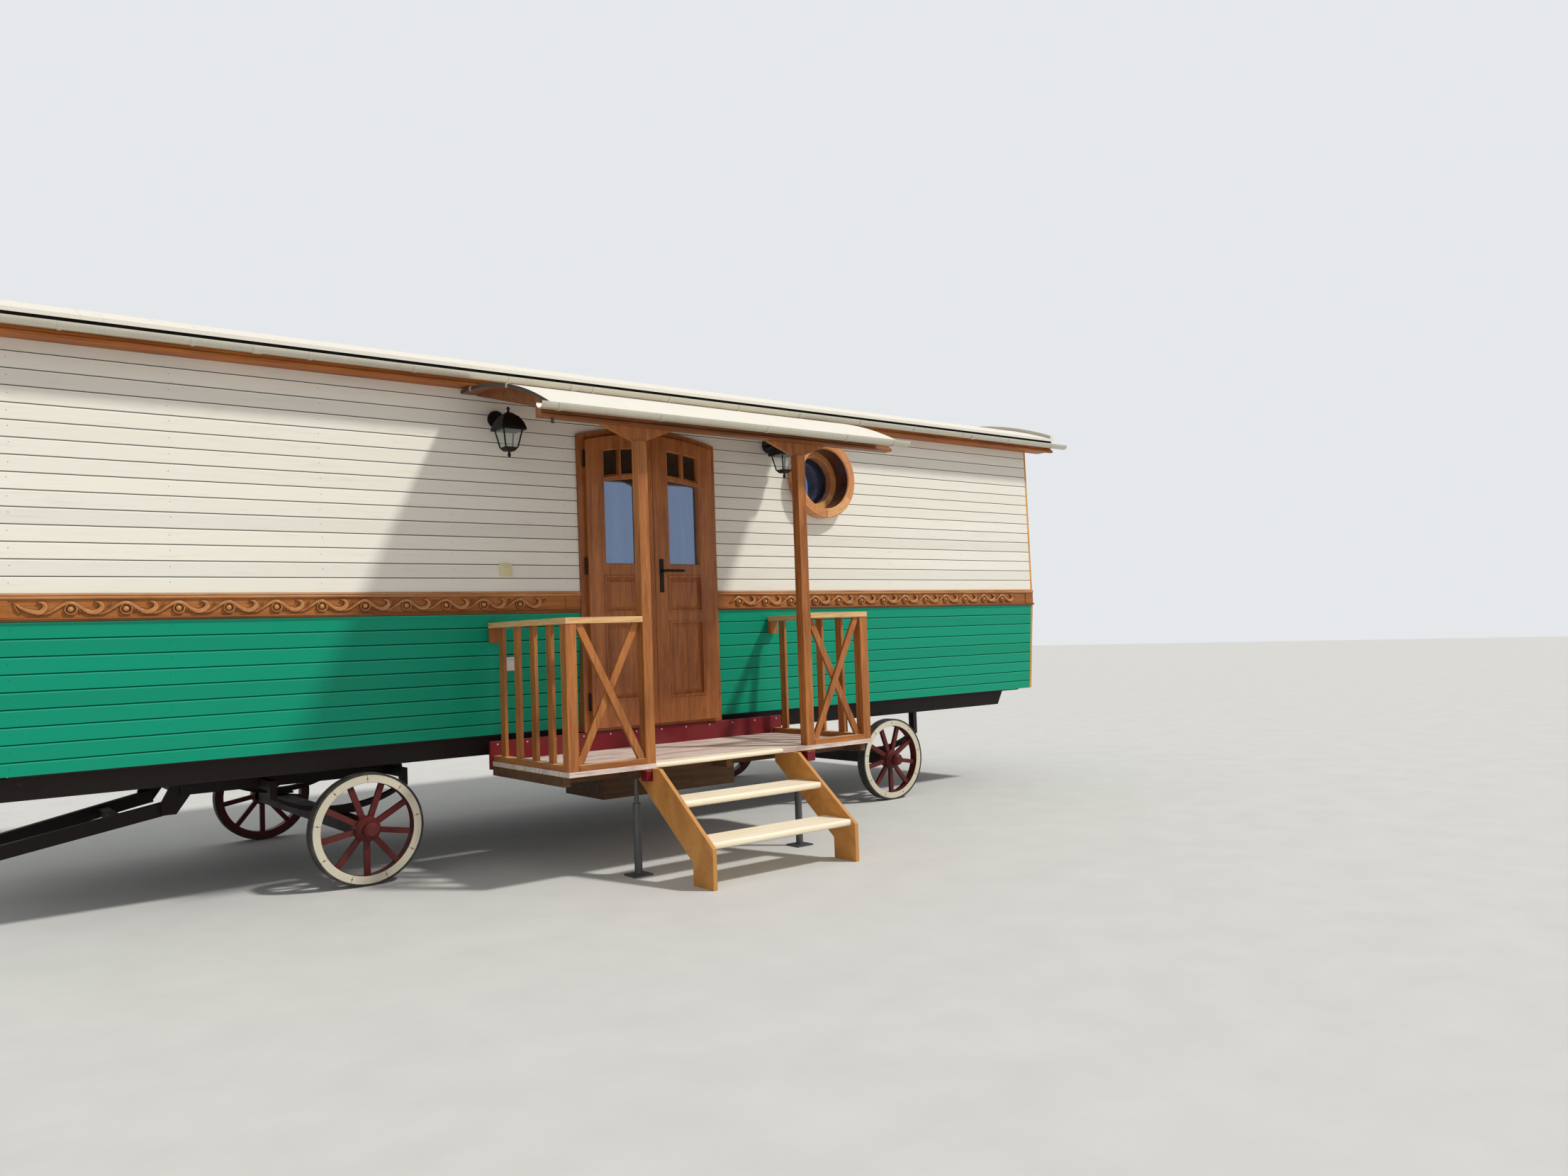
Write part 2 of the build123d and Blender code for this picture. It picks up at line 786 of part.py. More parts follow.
window_drop = centre_crown - glass_top
light_floor_drop = window_drop - glass_bar
light_drop = centre_crown - light_top
light_low = glass_top - light_arc_depth
through = leaf_lip + leaf_core + 2
for hand, name in ((-1, "left"), (1, "right")):
    # The two-pane light over the window, as the shape that is cut out
    with BuildPart() as light:
        low, high = span(hand, light_inner, light_outer)
        extrude(arched_face(low, high, light_low, light_drop, core_back + 1), amount=through)
        extrude(
            arched_face(low, high, light_low, light_floor_drop, core_back + 1),
            amount=through,
            mode=Mode.SUBTRACT,
        )
        leaf_block(
            hand,
            light_middle - light_muntin / 2,
            light_middle + light_muntin / 2,
            (core_back + 2, lip_front - 2),
            (light_low, light_top + light_muntin),
            mode=Mode.SUBTRACT,
        )

    with BuildPart() as leaf:
        low, high = span(hand, leaf_inner, lip_outer)
        extrude(arched_face(low, high, leaf_bottom, frame_stile - leaf_overlap, lip_back), amount=leaf_lip)
        low, high = span(hand, leaf_inner, core_outer)
        core_bottom = frame_bottom + frame_sill + leaf_side_gap
        extrude(arched_face(low, high, core_bottom, frame_stile + leaf_side_gap, core_back), amount=leaf_core)
        # The glazed opening and the light over it
        low, high = span(hand, light_inner, light_outer)
        extrude(
            arched_face(low, high, glass_bottom, window_drop, core_back + 1),
            amount=through,
            mode=Mode.SUBTRACT,
        )
        add(light.part, mode=Mode.SUBTRACT)
        # Raised panels: a sunk field with a bevelled plate standing in it
        for z_low, z_high in (lock_panel, tall_panel):
            leaf_block(
                hand,
                light_inner,
                light_outer,
                (lip_front - 1, lip_front + panel_sink),
                (z_low, z_high),
                mode=Mode.SUBTRACT,
            )
            middle_x = door_x + hand * light_middle
            with BuildSketch(Plane.XZ.offset(-lip_front - panel_sink)) as plate_foot:
                with Locations((middle_x, (z_low + z_high) / 2)):
                    Rectangle(light_width - 2 * panel_foot_gap, z_high - z_low - 2 * panel_foot_gap)
            with BuildSketch(Plane.XZ.offset(-lip_front - panel_top_sink)) as plate_top:
                with Locations((middle_x, (z_low + z_high) / 2)):
                    Rectangle(light_width - 2 * panel_bevel, z_high - z_low - 2 * panel_bevel)
            loft([plate_foot.sketch, plate_top.sketch])
        # The cover strip of the left leaf
        if hand < 0:
            leaf_block(
                hand,
                leaf_inner,
                leaf_inner + cover_strip_width,
                (lip_front, lip_front - cover_strip_proud),
                (leaf_bottom, arch_height(frame_stile, cover_strip_width) - cover_strip_drop),
            )
    save(leaf.part, f"door_leaf_{name}")

    with BuildPart() as pane:
        y_pane = (core_back - leaf_core, core_back - leaf_core + glass_thickness)
        low, high = span(hand, light_inner, light_outer)
        extrude(
            arched_face(low, high, glass_bottom, window_drop, y_pane[1]),
            amount=glass_thickness,
        )
        extrude(
            arched_face(low, high, light_low, light_drop, y_pane[1]),
            amount=glass_thickness,
        )
        add(leaf.part, mode=Mode.SUBTRACT)
    save(pane.part, f"door_glass_{name}")

    with BuildPart() as fittings:
        for z in hinge_heights:
            with BuildSketch(Plane.XY.offset(z - hinge_length / 2)):
                with Locations((door_x + hand * hinge_x, hinge_y)):
                    Circle(hinge_radius - hinge_pin_gap)
            extrude(amount=hinge_length)
            leaf_block(
                hand,
                lip_outer,
                hinge_x,
                (hinge_y - hinge_plate / 2, hinge_y + hinge_plate / 2),
                (z - hinge_length / 2, z + hinge_length / 2),
            )
        # The right leaf also carries a lever handle on a long plate
        if hand > 0:
            plate_x = door_x + leaf_inner + handle_from_gap
            block(
                (plate_x - plate_width / 2, plate_x + plate_width / 2),
                (lip_front, lip_front - plate_thickness),
                (handle_height - plate_below, handle_height + plate_above),
            )
            with BuildSketch(Plane.XZ.offset(-lip_front + plate_thickness - 1)) as neck:
                with Locations((plate_x, handle_height)):
                    Circle(lever_radius)
            extrude(neck.sketch, amount=lever_reach)
            with BuildSketch(Plane.YZ.offset(plate_x)) as lever:
                with Locations((lip_front - lever_reach, handle_height)):
                    Circle(lever_radius)
            extrude(lever.sketch, amount=lever_length)
    save(fittings.part, f"door_fittings_{name}")

# Porthole: a deep ring with a ledge inside it and a tube that carries the glass into the room
sleeve_radius = porthole_opening + porthole_sleeve - frame_gap
porthole_rings = (
    # start and end from the wall's inner face, outer radius, inner radius
    (-porthole_tube_past_wall, 0, porthole_ledge_radius + porthole_tube_wall, porthole_ledge_radius),
    (0, wall_depth - porthole_ledge_inset, sleeve_radius, porthole_ledge_radius),
    (wall_depth - porthole_ledge_inset, wall_depth, sleeve_radius, porthole_opening),
    (wall_depth, wall_depth + porthole_proud, porthole_radius, porthole_opening),
)
with BuildPart() as porthole:
    for start, end, outer_radius, inner_radius in porthole_rings:
        with BuildSketch(porthole_at.offset(start)) as ring:
            Circle(outer_radius)
            Circle(inner_radius, mode=Mode.SUBTRACT)
        extrude(ring.sketch, amount=end - start)
    front_edges = porthole.edges().filter_by(GeomType.CIRCLE).group_by(Axis.Y)[0]
    chamfer(front_edges, length=porthole_bevel)
save(porthole.part, "porthole_ring")


def window_frame(width, height, depth, at):
    """A casement window's frame with a mullion and a sill, drawn on a plane whose normal points out."""
    with BuildSketch(at) as ring:
        Rectangle(width, height)
        for s in (-1, 1):
            with Locations((s * (width - window_member) / 4, 0)):
                Rectangle((width - 3 * window_member) / 2, height - 2 * window_member, mode=Mode.SUBTRACT)
    extrude(ring.sketch, amount=depth + window_proud)
    with BuildSketch(at.offset(depth)) as sill:
        with Locations((0, -height / 2 - window_sill_height / 2)):
            Rectangle(width + 2 * window_member, window_sill_height)
    extrude(sill.sketch, amount=window_sill_reach)


window_planes = [
    Plane((x, side_y(1, wall_depth), window_middle), x_dir=(-1, 0, 0), z_dir=(0, 1, 0))
    for x in far_window_places
]
window_planes.append(
    Plane((left_end + wall_depth, mid_y, window_middle), x_dir=(0, -1, 0), z_dir=(-1, 0, 0))
)
frame_clear = 2 * frame_gap
with BuildPart() as window_frames:
    for at in window_planes:
        window_frame(window_width - frame_clear, window_height - frame_clear, wall_depth, at)
save(window_frames.part, "window_frames")

with BuildPart() as window_glass:
    with BuildSketch(porthole_at.offset(porthole_glass_setback - porthole_tube_past_wall)):
        Circle(porthole_ledge_radius)
    extrude(amount=glass_thickness)
    for at in window_planes:
        for s in (-1, 1):
            with BuildSketch(at.offset(wall_depth / 2)) as pane:
                with Locations((s * (window_width - frame_clear - window_member) / 4, 0)):
                    Rectangle(
                        (window_width - frame_clear - 3 * window_member) / 2,
                        window_height - frame_clear - 2 * window_member,
                    )
            extrude(pane.sketch, amount=glass_thickness)
save(window_glass.part, "window_glass")

# Chassis: two channel beams, cross members between them and outriggers to the door side
beam_x = (left_end + beam_left_setback, right_end - beam_right_setback)
with BuildPart() as beams:
    for side in (-1, 1):
        outer = side_y(side, beam_inset)
        inner = side_y(side, beam_inset + beam_width)
        with BuildSketch(Plane.XZ.offset(-max(outer, inner))) as beam_side:
            with BuildLine():
                Polyline(
                    (beam_x[0], beam_top),
                    (beam_x[1], beam_top),
                    (beam_x[1] - beam_end_slope, beam_bottom),
                    (beam_x[0], beam_bottom),
                    close=True,
                )
            make_face()
        extrude(beam_side.sketch, amount=beam_width)
        web = side_y(side, beam_inset + beam_flange)
        block(
            (beam_x[0] - 1, beam_x[1] + 1),
            (web, side_y(side, beam_inset + beam_width + 1)),
            (beam_bottom + beam_flange, beam_top - beam_flange),
            mode=Mode.SUBTRACT,
        )
save(beams.part, "chassis_beams")

beam_web = beam_inset + beam_flange
cross_x = [left_end + d for d in cross_places]
with BuildPart() as crosses:
    for x in cross_x + [beam_x[1] - beam_end_slope - 2 * cross_width]:
        block(
            (x, x + cross_width),
            (side_y(-1, beam_web), side_y(1, beam_web)),
            (beam_top - beam_flange - cross_height, beam_top - beam_flange),
        )
    # Full-depth bearers carry the upper ring of the turntable
    for x in [front_axle_x + s * (ring_radius - ring_width) for s in (-1, 1)]:
        block(
            (x - cross_width / 2, x + cross_width / 2),
            (side_y(-1, beam_web), side_y(1, beam_web)),
            (beam_bottom + beam_flange, beam_top - beam_flange),
        )
        block(
            (x - cross_width / 2, x + cross_width / 2),
            (side_y(-1, beam_inset + beam_width + 1), side_y(1, beam_inset + beam_width + 1)),
            (beam_bottom, beam_bottom + beam_flange),
        )
    # Outriggers run from the door-side beam to the back of the skirt board
    outrigger_low = skirt_x[0] + outrigger_from_end
    outrigger_high = skirt_x[1] - outrigger_from_end - cross_width
    for x in (outrigger_low, porch_x - cross_width / 2, outrigger_high):
        block(
            (x, x + cross_width),
            (side_y(-1, -skirt_proud + skirt_thickness), side_y(-1, beam_inset)),
            (beam_bottom, beam_bottom + cross_height),
        )
save(crosses.part, "cross_members")

with BuildPart() as upper_ring:
    with BuildSketch(Plane.XY.offset(beam_bottom - ring_height)):
        with Locations((front_axle_x, mid_y)):
            Circle(ring_radius)
            Circle(ring_radius - ring_width, mode=Mode.SUBTRACT)
    extrude(amount=ring_height)
save(upper_ring.part, "turntable_upper_ring")

# Wheel, built about its own axle with the outer face towards -Y
with BuildPart() as wheel_model:
    felloe_outer = wheel_radius - tyre_thickness
    felloe_inner = felloe_outer - felloe_depth
    with BuildSketch(Plane.XZ.offset(-felloe_width / 2)):
        Circle(felloe_outer)
        Circle(felloe_inner, mode=Mode.SUBTRACT)
    extrude(amount=felloe_width)
    with BuildSketch(Plane.XZ.offset(-spoke_thickness / 2)):
        with PolarLocations(0, spoke_count, start_angle=-90):
            with Locations(((nave_radius + felloe_inner) / 2, 0)):
                Rectangle(felloe_inner - nave_radius + 2 * spoke_root, spoke_width)
    extrude(amount=spoke_thickness)
    with BuildSketch(Plane.YZ):
        with BuildLine():
            half_nave = nave_length / 2
            Polyline(
                (half_nave, 0),
                (half_nave, nave_end_radius),
                (nave_shoulder, nave_radius),
                (-nave_shoulder, nave_radius),
                (-half_nave, nave_end_radius),
                (-half_nave, cap_radius),
                (-half_nave - cap_shoulder, cap_radius),
                (-half_nave - cap_length, cap_tip_radius),
                (-half_nave - cap_length, 0),
                (half_nave, 0),
            )
        make_face()
    revolve(axis=Axis.Y)
    with BuildSketch(Plane.XZ.offset(-half_nave - 1)):
        Circle(spindle_radius)
    extrude(amount=nave_length + spindle_into_cap, mode=Mode.SUBTRACT)

with BuildPart() as tyre_model:
    with BuildSketch(Plane.XZ.offset(-wheel_width / 2)):
        Circle(wheel_radius)
        Circle(wheel_radius - tyre_thickness, mode=Mode.SUBTRACT)
    extrude(amount=wheel_width)

wheel_middle_inset = wheel_inset + wheel_width / 2
wheel_table = [
    # name, axle X, side
    ("front_door_side", front_axle_x, -1),
    ("front_far_side", front_axle_x, 1),
    ("rear_door_side", rear_axle_x, -1),
    ("rear_far_side", rear_axle_x, 1),
]
for name, x, side in wheel_table:
    turn = 0 if side < 0 else 180
    at = Location((x, side_y(side, wheel_middle_inset), axle_height), (0, 0, turn))
    save(wheel_model.part.moved(at), f"wheel_{name}")
    save(tyre_model.part.moved(at), f"tyre_{name}")

# Axles: a square bar with a round spindle in each nave, and a pad under each spring
spindle_tip = half_nave + spindle_into_cap - spindle_end_gap
axle_table = [
    # name, axle X, inset of the spring's middle from the frieze plane
    ("rear_axle", rear_axle_x, beam_inset + beam_width / 2),
    ("front_axle", front_axle_x, half_width - front_spring_middle),
]
bar_inset = wheel_middle_inset + half_nave + hub_gap
for name, x, spring_inset in axle_table:
    with BuildPart() as axle:
        block(
            (x - axle_size / 2, x + axle_size / 2),
            (side_y(-1, bar_inset), side_y(1, bar_inset)),
            (axle_height - axle_size / 2, axle_height + axle_size / 2),
        )
        with BuildSketch(Plane.XZ.offset(-side_y(1, wheel_middle_inset - spindle_tip))):
            with Locations((x, axle_height)):
                Circle(spindle_radius - spindle_clearance)
        extrude(amount=body_width - 2 * (wheel_middle_inset - spindle_tip))
        for side in (-1, 1):
            y = side_y(side, spring_inset)
            block(
                (x - axle_size, x + axle_size),
                (y - spring_width / 2, y + spring_width / 2),
                (axle_height + axle_size / 2, axle_height + axle_size / 2 + spring_pad),
            )
    save(axle.part, name)

# Leaf springs: a bowed pack on each axle pad, with a hanger at each end up to what it carries
spring_seat = axle_height + axle_size / 2 + spring_pad
spring_rise = steer_frame_bottom - spring_below_frame - spring_tip_thickness - spring_seat
spring_table = [
    # name, axle X, inset of the spring's middle, level that the hangers reach
    ("rear_springs", rear_axle_x, beam_inset + beam_width / 2, beam_bottom),
    ("front_springs", front_axle_x, half_width - front_spring_middle, steer_frame_bottom),
]
for name, x, spring_inset, hanger_top in spring_table:
    with BuildPart() as springs:
        for side in (-1, 1):
            y = side_y(side, spring_inset)
            half_span = spring_half_span
            with BuildSketch(Plane.XZ.offset(-y - spring_width / 2)) as spring_side:
                with BuildLine():
                    low = [(x + s * half_span, spring_seat + spring_rise) for s in (-1, 1)]
                    high = [(px, pz + spring_tip_thickness) for px, pz in low]
                    ThreePointArc(low[0], (x, spring_seat), low[1])
                    Line(low[1], high[1])
                    ThreePointArc(high[1], (x, spring_seat + spring_thickness), high[0])
                    Line(high[0], low[0])
                make_face()
            extrude(spring_side.sketch, amount=spring_width)
            for s in (-1, 1):
                end_x = x + s * (half_span - hanger_size / 2)
                block(
                    (end_x - hanger_size / 2, end_x + hanger_size / 2),
                    (y - spring_width / 2, y + spring_width / 2),
                    (spring_seat + spring_rise - hanger_lap, hanger_top),
                )
    save(springs.part, name)

# Steered frame under the turntable: lower ring, rails to the fork and bolsters over the springs
with BuildPart() as lower_ring:
    with BuildSketch(Plane.XY.offset(steer_frame_top)):
        with Locations((front_axle_x, mid_y)):
            Circle(ring_radius)
            Circle(ring_radius - ring_width, mode=Mode.SUBTRACT)
    extrude(amount=ring_height)
save(lower_ring.part, "turntable_lower_ring")

fork_x = front_axle_x - fork_reach
rail_front = fork_x + rail_from_pins
bolster_reach = front_spring_middle + spring_width / 2
lug_bottom = fork_height - fork_lug_half
with BuildPart() as steer_frame:
    for s in (-1, 1):
        y = mid_y + s * steer_rail_middle
        block(
            (rail_front, front_axle_x + steer_frame_half_length),
            (y - steer_frame_width / 2, y + steer_frame_width / 2),
            (steer_frame_bottom, steer_frame_top),
        )
    for s in (-1, 1):
        x = front_axle_x + s * (spring_half_span - hanger_size / 2)
        block(
            (x - hanger_size / 2, x + hanger_size / 2),
            (mid_y - bolster_reach, mid_y + bolster_reach),
            (steer_frame_bottom, steer_frame_top),
        )
    block(
        (rail_front, rail_front + hanger_size),
        (mid_y - steer_rail_middle, mid_y + steer_rail_middle),
        (steer_frame_bottom, steer_frame_top),
    )
    # Lugs at the front of the rails hold the drawbar's pins
    for s in (-1, 1):
        y = mid_y + s * steer_rail_middle
        with BuildSketch(Plane.XZ.offset(-y - fork_lug_thickness / 2)) as lug:
            with BuildLine():
                Polyline(
                    (rail_front, steer_frame_top),
                    (rail_front + fork_lug_base, steer_frame_top),
                    (rail_front + fork_lug_base, steer_frame_bottom),
                    (fork_x + fork_lug_half, lug_bottom),
                    (fork_x - fork_lug_half, lug_bottom),
                    (fork_x - fork_lug_half, fork_height + fork_lug_half),
                    (rail_front - fork_lug_lead, steer_frame_top),
                    close=True,
                )
            make_face()
            with Locations((fork_x, fork_height)):
                Circle(pivot_radius, mode=Mode.SUBTRACT)
        extrude(lug.sketch, amount=fork_lug_thickness)
save(steer_frame.part, "steer_frame")

# Drawbar: modelled level, then let down about its pins until the eye rests on the ground
pin_level = (fork_x, mid_y, fork_height)
head_x = fork_x - eye_reach + head_length


def let_drawbar_down(part):
    """Turn a level piece of the drawbar about the pins to where it rests on the ground."""
    return part.rotate(Axis(pin_level, (0, 1, 0)), -eye_slope)


with BuildPart() as drawbar_arms:
    for s in (-1, 1):
        lug_inner = steer_rail_middle - fork_lug_thickness / 2 - fork_lug_gap
        with BuildSketch(Plane.XY.offset(fork_height - arm_height / 2)) as arm:
            with BuildLine():
                Polyline(
                    (fork_x + arm_heel, mid_y + s * lug_inner),
                    (fork_x - arm_straight, mid_y + s * lug_inner),
                    (head_x, mid_y + s * (head_width / 2 + arm_width)),
                    (head_x - arm_width, mid_y + s * head_width / 2),
                    (head_x + head_lap, mid_y + s * head_width / 2),
                    (fork_x - arm_straight, mid_y + s * (lug_inner - arm_width)),
                    (fork_x + arm_heel, mid_y + s * (lug_inner - arm_width)),
                    close=True,
                )
            make_face()
        extrude(arm.sketch, amount=arm_height)
        with BuildSketch(Plane.XZ.offset(-mid_y - s * lug_inner)) as pin:
            with Locations((fork_x, fork_height)):
                Circle(pivot_radius - spindle_clearance)
        extrude(pin.sketch, amount=-s * (fork_lug_gap + fork_lug_thickness))
    # A tie across the arms near the pins
    tie_x = fork_x - tie_from_pins
    tie_share = (tie_from_pins - arm_straight) / (fork_x - arm_straight - head_x)
    tie_reach = lug_inner - arm_width / 2 - tie_share * (lug_inner - arm_width - head_width / 2)
    block(
        (tie_x - tie_size / 2, tie_x + tie_size / 2),
        (mid_y - tie_reach, mid_y + tie_reach),
        (fork_height - tie_size / 2, fork_height + tie_size / 2),
    )
save(let_drawbar_down(drawbar_arms.part), "drawbar_arms")

with BuildPart() as drawbar_head:
    block(
        (fork_x - foot_reach, head_x + head_lap),
        (mid_y - head_width / 2, mid_y + head_width / 2),
        (fork_height - arm_height / 2, fork_height + arm_height / 2),
    )
    block(
        (fork_x - eye_reach - eye_outer_radius, fork_x - eye_reach + 2 * eye_outer_radius),
        (mid_y - eye_outer_radius, mid_y + eye_outer_radius),
        (fork_height + eye_thickness / 2, fork_height + arm_height),
        mode=Mode.SUBTRACT,
    )
    with BuildSketch(Plane.XY.offset(fork_height - eye_thickness / 2)):
        with Locations((fork_x - eye_reach, mid_y)):
            Circle(eye_outer_radius)
    extrude(amount=eye_thickness)
    with BuildSketch(Plane.XY.offset(fork_height - arm_height)):
        with Locations((fork_x - eye_reach, mid_y)):
            Circle(eye_bore_radius)
    extrude(amount=2 * arm_height, mode=Mode.SUBTRACT)
save(let_drawbar_down(drawbar_head.part), "drawbar_head")

# Porch deck: boards along the wagon on joists, with the maroon skirt board against the chassis
deck_x = (porch_x - deck_width / 2, porch_x + deck_width / 2)
deck_front = side_y(-1, -deck_reach)
deck_back = side_y(-1, -skirt_proud)
post_x = [porch_x - post_spacing / 2, porch_x + post_spacing / 2]
post_front = deck_front + post_setback
post_back = post_front + post_size
nosing_x = (post_x[0] + post_size / 2, post_x[0] - post_size / 2 + stair_width)

with BuildPart() as deck_boards:
    board_depth = (deck_back - deck_front - nosing_depth) / (deck_board_count - 1)
    for i in range(deck_board_count - 1):
        y_low = deck_front + nosing_depth + i * board_depth
        block(deck_x, (y_low + deck_board_gap, y_low + board_depth), (deck_top - deck_board, deck_top))
    for x_low, x_high in ((deck_x[0], nosing_x[0]), (nosing_x[1], deck_x[1])):
        block((x_low, x_high), (deck_front, deck_front + nosing_depth), (deck_top - deck_board, deck_top))
    for x in post_x:
        block(
            (x - post_size / 2 - post_notch, x + post_size / 2 + post_notch),
            (post_front - post_notch, post_back + post_notch),
            (deck_top - 2 * deck_board, deck_top + deck_board),
            mode=Mode.SUBTRACT,
        )
save(deck_boards.part, "deck_boards")

with BuildPart() as nosing:
    block(nosing_x, (deck_front, deck_front + nosing_depth), (deck_top - deck_board, deck_top))
    nose_edges = nosing.edges().filter_by(Axis.X).group_by(Axis.Y)[0]
    fillet(nose_edges, radius=nosing_radius)

joist_top = deck_top - deck_board
prop_x = [post_x[0] - (post_size + joist_width) / 2, post_x[1] - (post_size + joist_width) / 2]
joist_places = [deck_x[0], post_x[0] + post_size / 2, porch_x - joist_width / 2, deck_x[1] - joist_width]
joist_places += [x - joist_width / 2 for x in prop_x]
with BuildPart() as deck_frame:
    for x in joist_places:
        block((x, x + joist_width), (post_back, deck_back), (joist_top - joist_height, joist_top))
    for y in (post_back + rim_setback, deck_back - joist_width):
        block(deck_x, (y, y + joist_width), (joist_top - joist_height, joist_top))
save(deck_frame.part, "deck_frame")

with BuildPart() as skirt:
    block(
        skirt_x,
        (side_y(-1, -skirt_proud), side_y(-1, -skirt_proud + skirt_thickness)),
        (skirt_bottom, skirt_top),
    )
save(skirt.part, "skirt_board")

# Canopy posts with flared heads, and the corner posts of the railings
post_bottom = deck_top - post_below_deck
beam_level = post_top + bracket_height
rail_level = handrail_top - handrail_thickness
corner_x = [deck_x[0] + corner_post_size / 2, deck_x[1] - corner_post_size / 2]
with BuildPart() as posts:
    for x in post_x:
        block((x - post_size / 2, x + post_size / 2), (post_front, post_back), (post_bottom, post_top))
        with BuildSketch(Plane.XZ.offset(-post_front - bracket_setback)) as flare:
            with BuildLine():
                Polyline(
                    (x - post_size / 2, post_top),
                    (x + post_size / 2, post_top),
                    (x + bracket_half_width, beam_level),
                    (x - bracket_half_width, beam_level),
                    close=True,
                )
            make_face()
        extrude(flare.sketch, amount=-bracket_thickness)
    for x in corner_x:
        block(
            (x - corner_post_size / 2, x + corner_post_size / 2),
            (post_front, post_front + corner_post_size),
            (deck_top, rail_level),
        )
save(posts.part, "posts")

# Painted steel feet of the canopy posts
with BuildPart() as post_feet:
    for x in post_x:
        block(
            (x - post_size / 2, x + post_size / 2),
            (post_front, post_back),
            (post_bottom - post_foot, post_bottom),
        )
save(post_feet.part, "post_feet")


def batten(start, end, width, y, mode=Mode.ADD):
    """A flat batten between two (X, Z) points, its front face at y."""
    middle = ((start[0] + end[0]) / 2, (start[1] + end[1]) / 2)
    length = Vector(end[0] - start[0], end[1] - start[1]).length
    angle = Vector(1, 0).get_signed_angle(Vector(end[0] - start[0], end[1] - start[1]))
    with BuildSketch(Plane.XZ.offset(-y)) as flat:
        with Locations(middle):
            Rectangle(length, width, rotation=angle)
    extrude(flat.sketch, amount=-brace_thickness, mode=mode)


# Front railings: hand rail, foot rail and crossed braces, one each side of the steps
foot_level = deck_top + foot_rail_height
bays = (
    ("left", corner_x[0], post_x[0], 1),
    ("right", corner_x[1], post_x[1], -1),
)
rail_y = (post_front - handrail_proud, post_front - handrail_proud + handrail_width)
trim_y = (rail_y[0] - cut_margin, rail_y[1] + cut_margin)
with BuildPart() as front_railings:
    for name, corner, post, inward in bays:
        inner = post - inward * post_size / 2
        outer = corner - inward * corner_post_size / 2
        post_side = corner + inward * corner_post_size / 2
        block((min(outer, inner), max(outer, inner)), rail_y, (rail_level, handrail_top))
        block(
            (min(post_side, inner), max(post_side, inner)),
            (rail_y[0], rail_y[0] + foot_rail_width),
            (deck_top, foot_level),
        )
        low = foot_level - brace_lap
        high = rail_level + brace_lap
        y_front = post_front + brace_setback
        ends = (post_side + inward * brace_inset, inner - inward * brace_inset)
        batten((ends[0], low), (ends[1], high), brace_width, y_front)
        batten((ends[0], high), (ends[1], low), brace_width, y_front + brace_thickness)
    for x_low, x_high in (
        (deck_x[0] - cut_margin, corner_x[0] + corner_post_size / 2),
        (post_x[0] - post_size / 2, post_x[1] + post_size / 2),
        (corner_x[1] - corner_post_size / 2, deck_x[1] + cut_margin),
    ):
        block((x_low, x_high), trim_y, (deck_top, rail_level), mode=Mode.SUBTRACT)
    block(
        (post_x[0] - post_size / 2, post_x[1] + post_size / 2),
        trim_y,
        (rail_level - brace_lap, handrail_top + cut_margin),
        mode=Mode.SUBTRACT,
    )
save(front_railings.part, "front_railings")

# Side railings back to the wall: hand rail, foot rail and upright slats
with BuildPart() as side_railings:
    for x in corner_x:
        block(
            (x - handrail_width / 2, x + handrail_width / 2),
            (rail_y[1], side_y(-1, -1)),
            (rail_level, handrail_top),
        )
        block(
            (x - ledger_width / 2, x + ledger_width / 2),
            (side_y(-1, -1 - ledger_thickness), side_y(-1, -1)),
            (rail_level - ledger_height, rail_level),
        )
        block(
            (x - foot_rail_width / 2, x + foot_rail_width / 2),
            (post_front + corner_post_size, side_y(-1, -skirt_proud)),
            (deck_top, foot_level),
        )
        for i in range(slat_count):
            y = side_y(-1, 0) - slat_from_wall - i * slat_pitch
            block(
                (x - slat_thickness / 2, x + slat_thickness / 2),
                (y - slat_width / 2, y + slat_width / 2),
                (foot_level - slat_lap, rail_level + slat_lap),
            )
save(side_railings.part, "side_railings")

# Screw props under the deck beside the posts
with BuildPart() as props:
    for x in prop_x:
        y = post_back + joist_width / 2
        with BuildSketch(Plane.XY):
            with Locations((x, y)):
                Rectangle(prop_base, prop_base)
        extrude(amount=prop_base_thickness)
        with BuildSketch(Plane.XY.offset(prop_base_thickness)):
            with Locations((x, y)):
                Circle(prop_radius)
        extrude(amount=joist_top - joist_height - prop_base_thickness - prop_screw_length)
        with BuildSketch(Plane.XY.offset(joist_top - joist_height - prop_screw_length)):
            with Locations((x, y)):
                Circle(prop_screw_radius)
        extrude(amount=prop_screw_length)
save(props.part, "deck_props")

# Steps: two sawn stringers and two treads between them
stringer_outline = [
    (side_y(-1, -stair_reach), 0),
    (side_y(-1, -stair_reach), stringer_nose),
    (side_y(-1, -stair_reach + (joist_top - stringer_nose) / stringer_slope), joist_top),
    (side_y(-1, -stringer_head_inset), joist_top),
    (
        side_y(-1, -stringer_head_inset),
        stringer_heel + (stair_reach - stringer_foot - stringer_head_inset) * stringer_slope,
    ),
    (side_y(-1, -stair_reach + stringer_foot), stringer_heel),
    (side_y(-1, -stair_reach + stringer_foot), 0),
]
stair_x = (post_x[0] + post_size / 2 - stringer_thickness, post_x[0] + post_size / 2 + stair_width)
with BuildPart() as stringers:
    for x in stair_x:
        side_bar(stringer_outline, (x, x + stringer_thickness))
    for x in post_x:
        block(
            (x - post_size / 2 - 1, x + post_size / 2 + 1),
            (post_front - 1, post_back + 1),
            (post_bottom - post_foot - 1, joist_top + 1),
            mode=Mode.SUBTRACT,
        )
    add(deck_frame.part, mode=Mode.SUBTRACT)
save(stringers.part, "stringers")

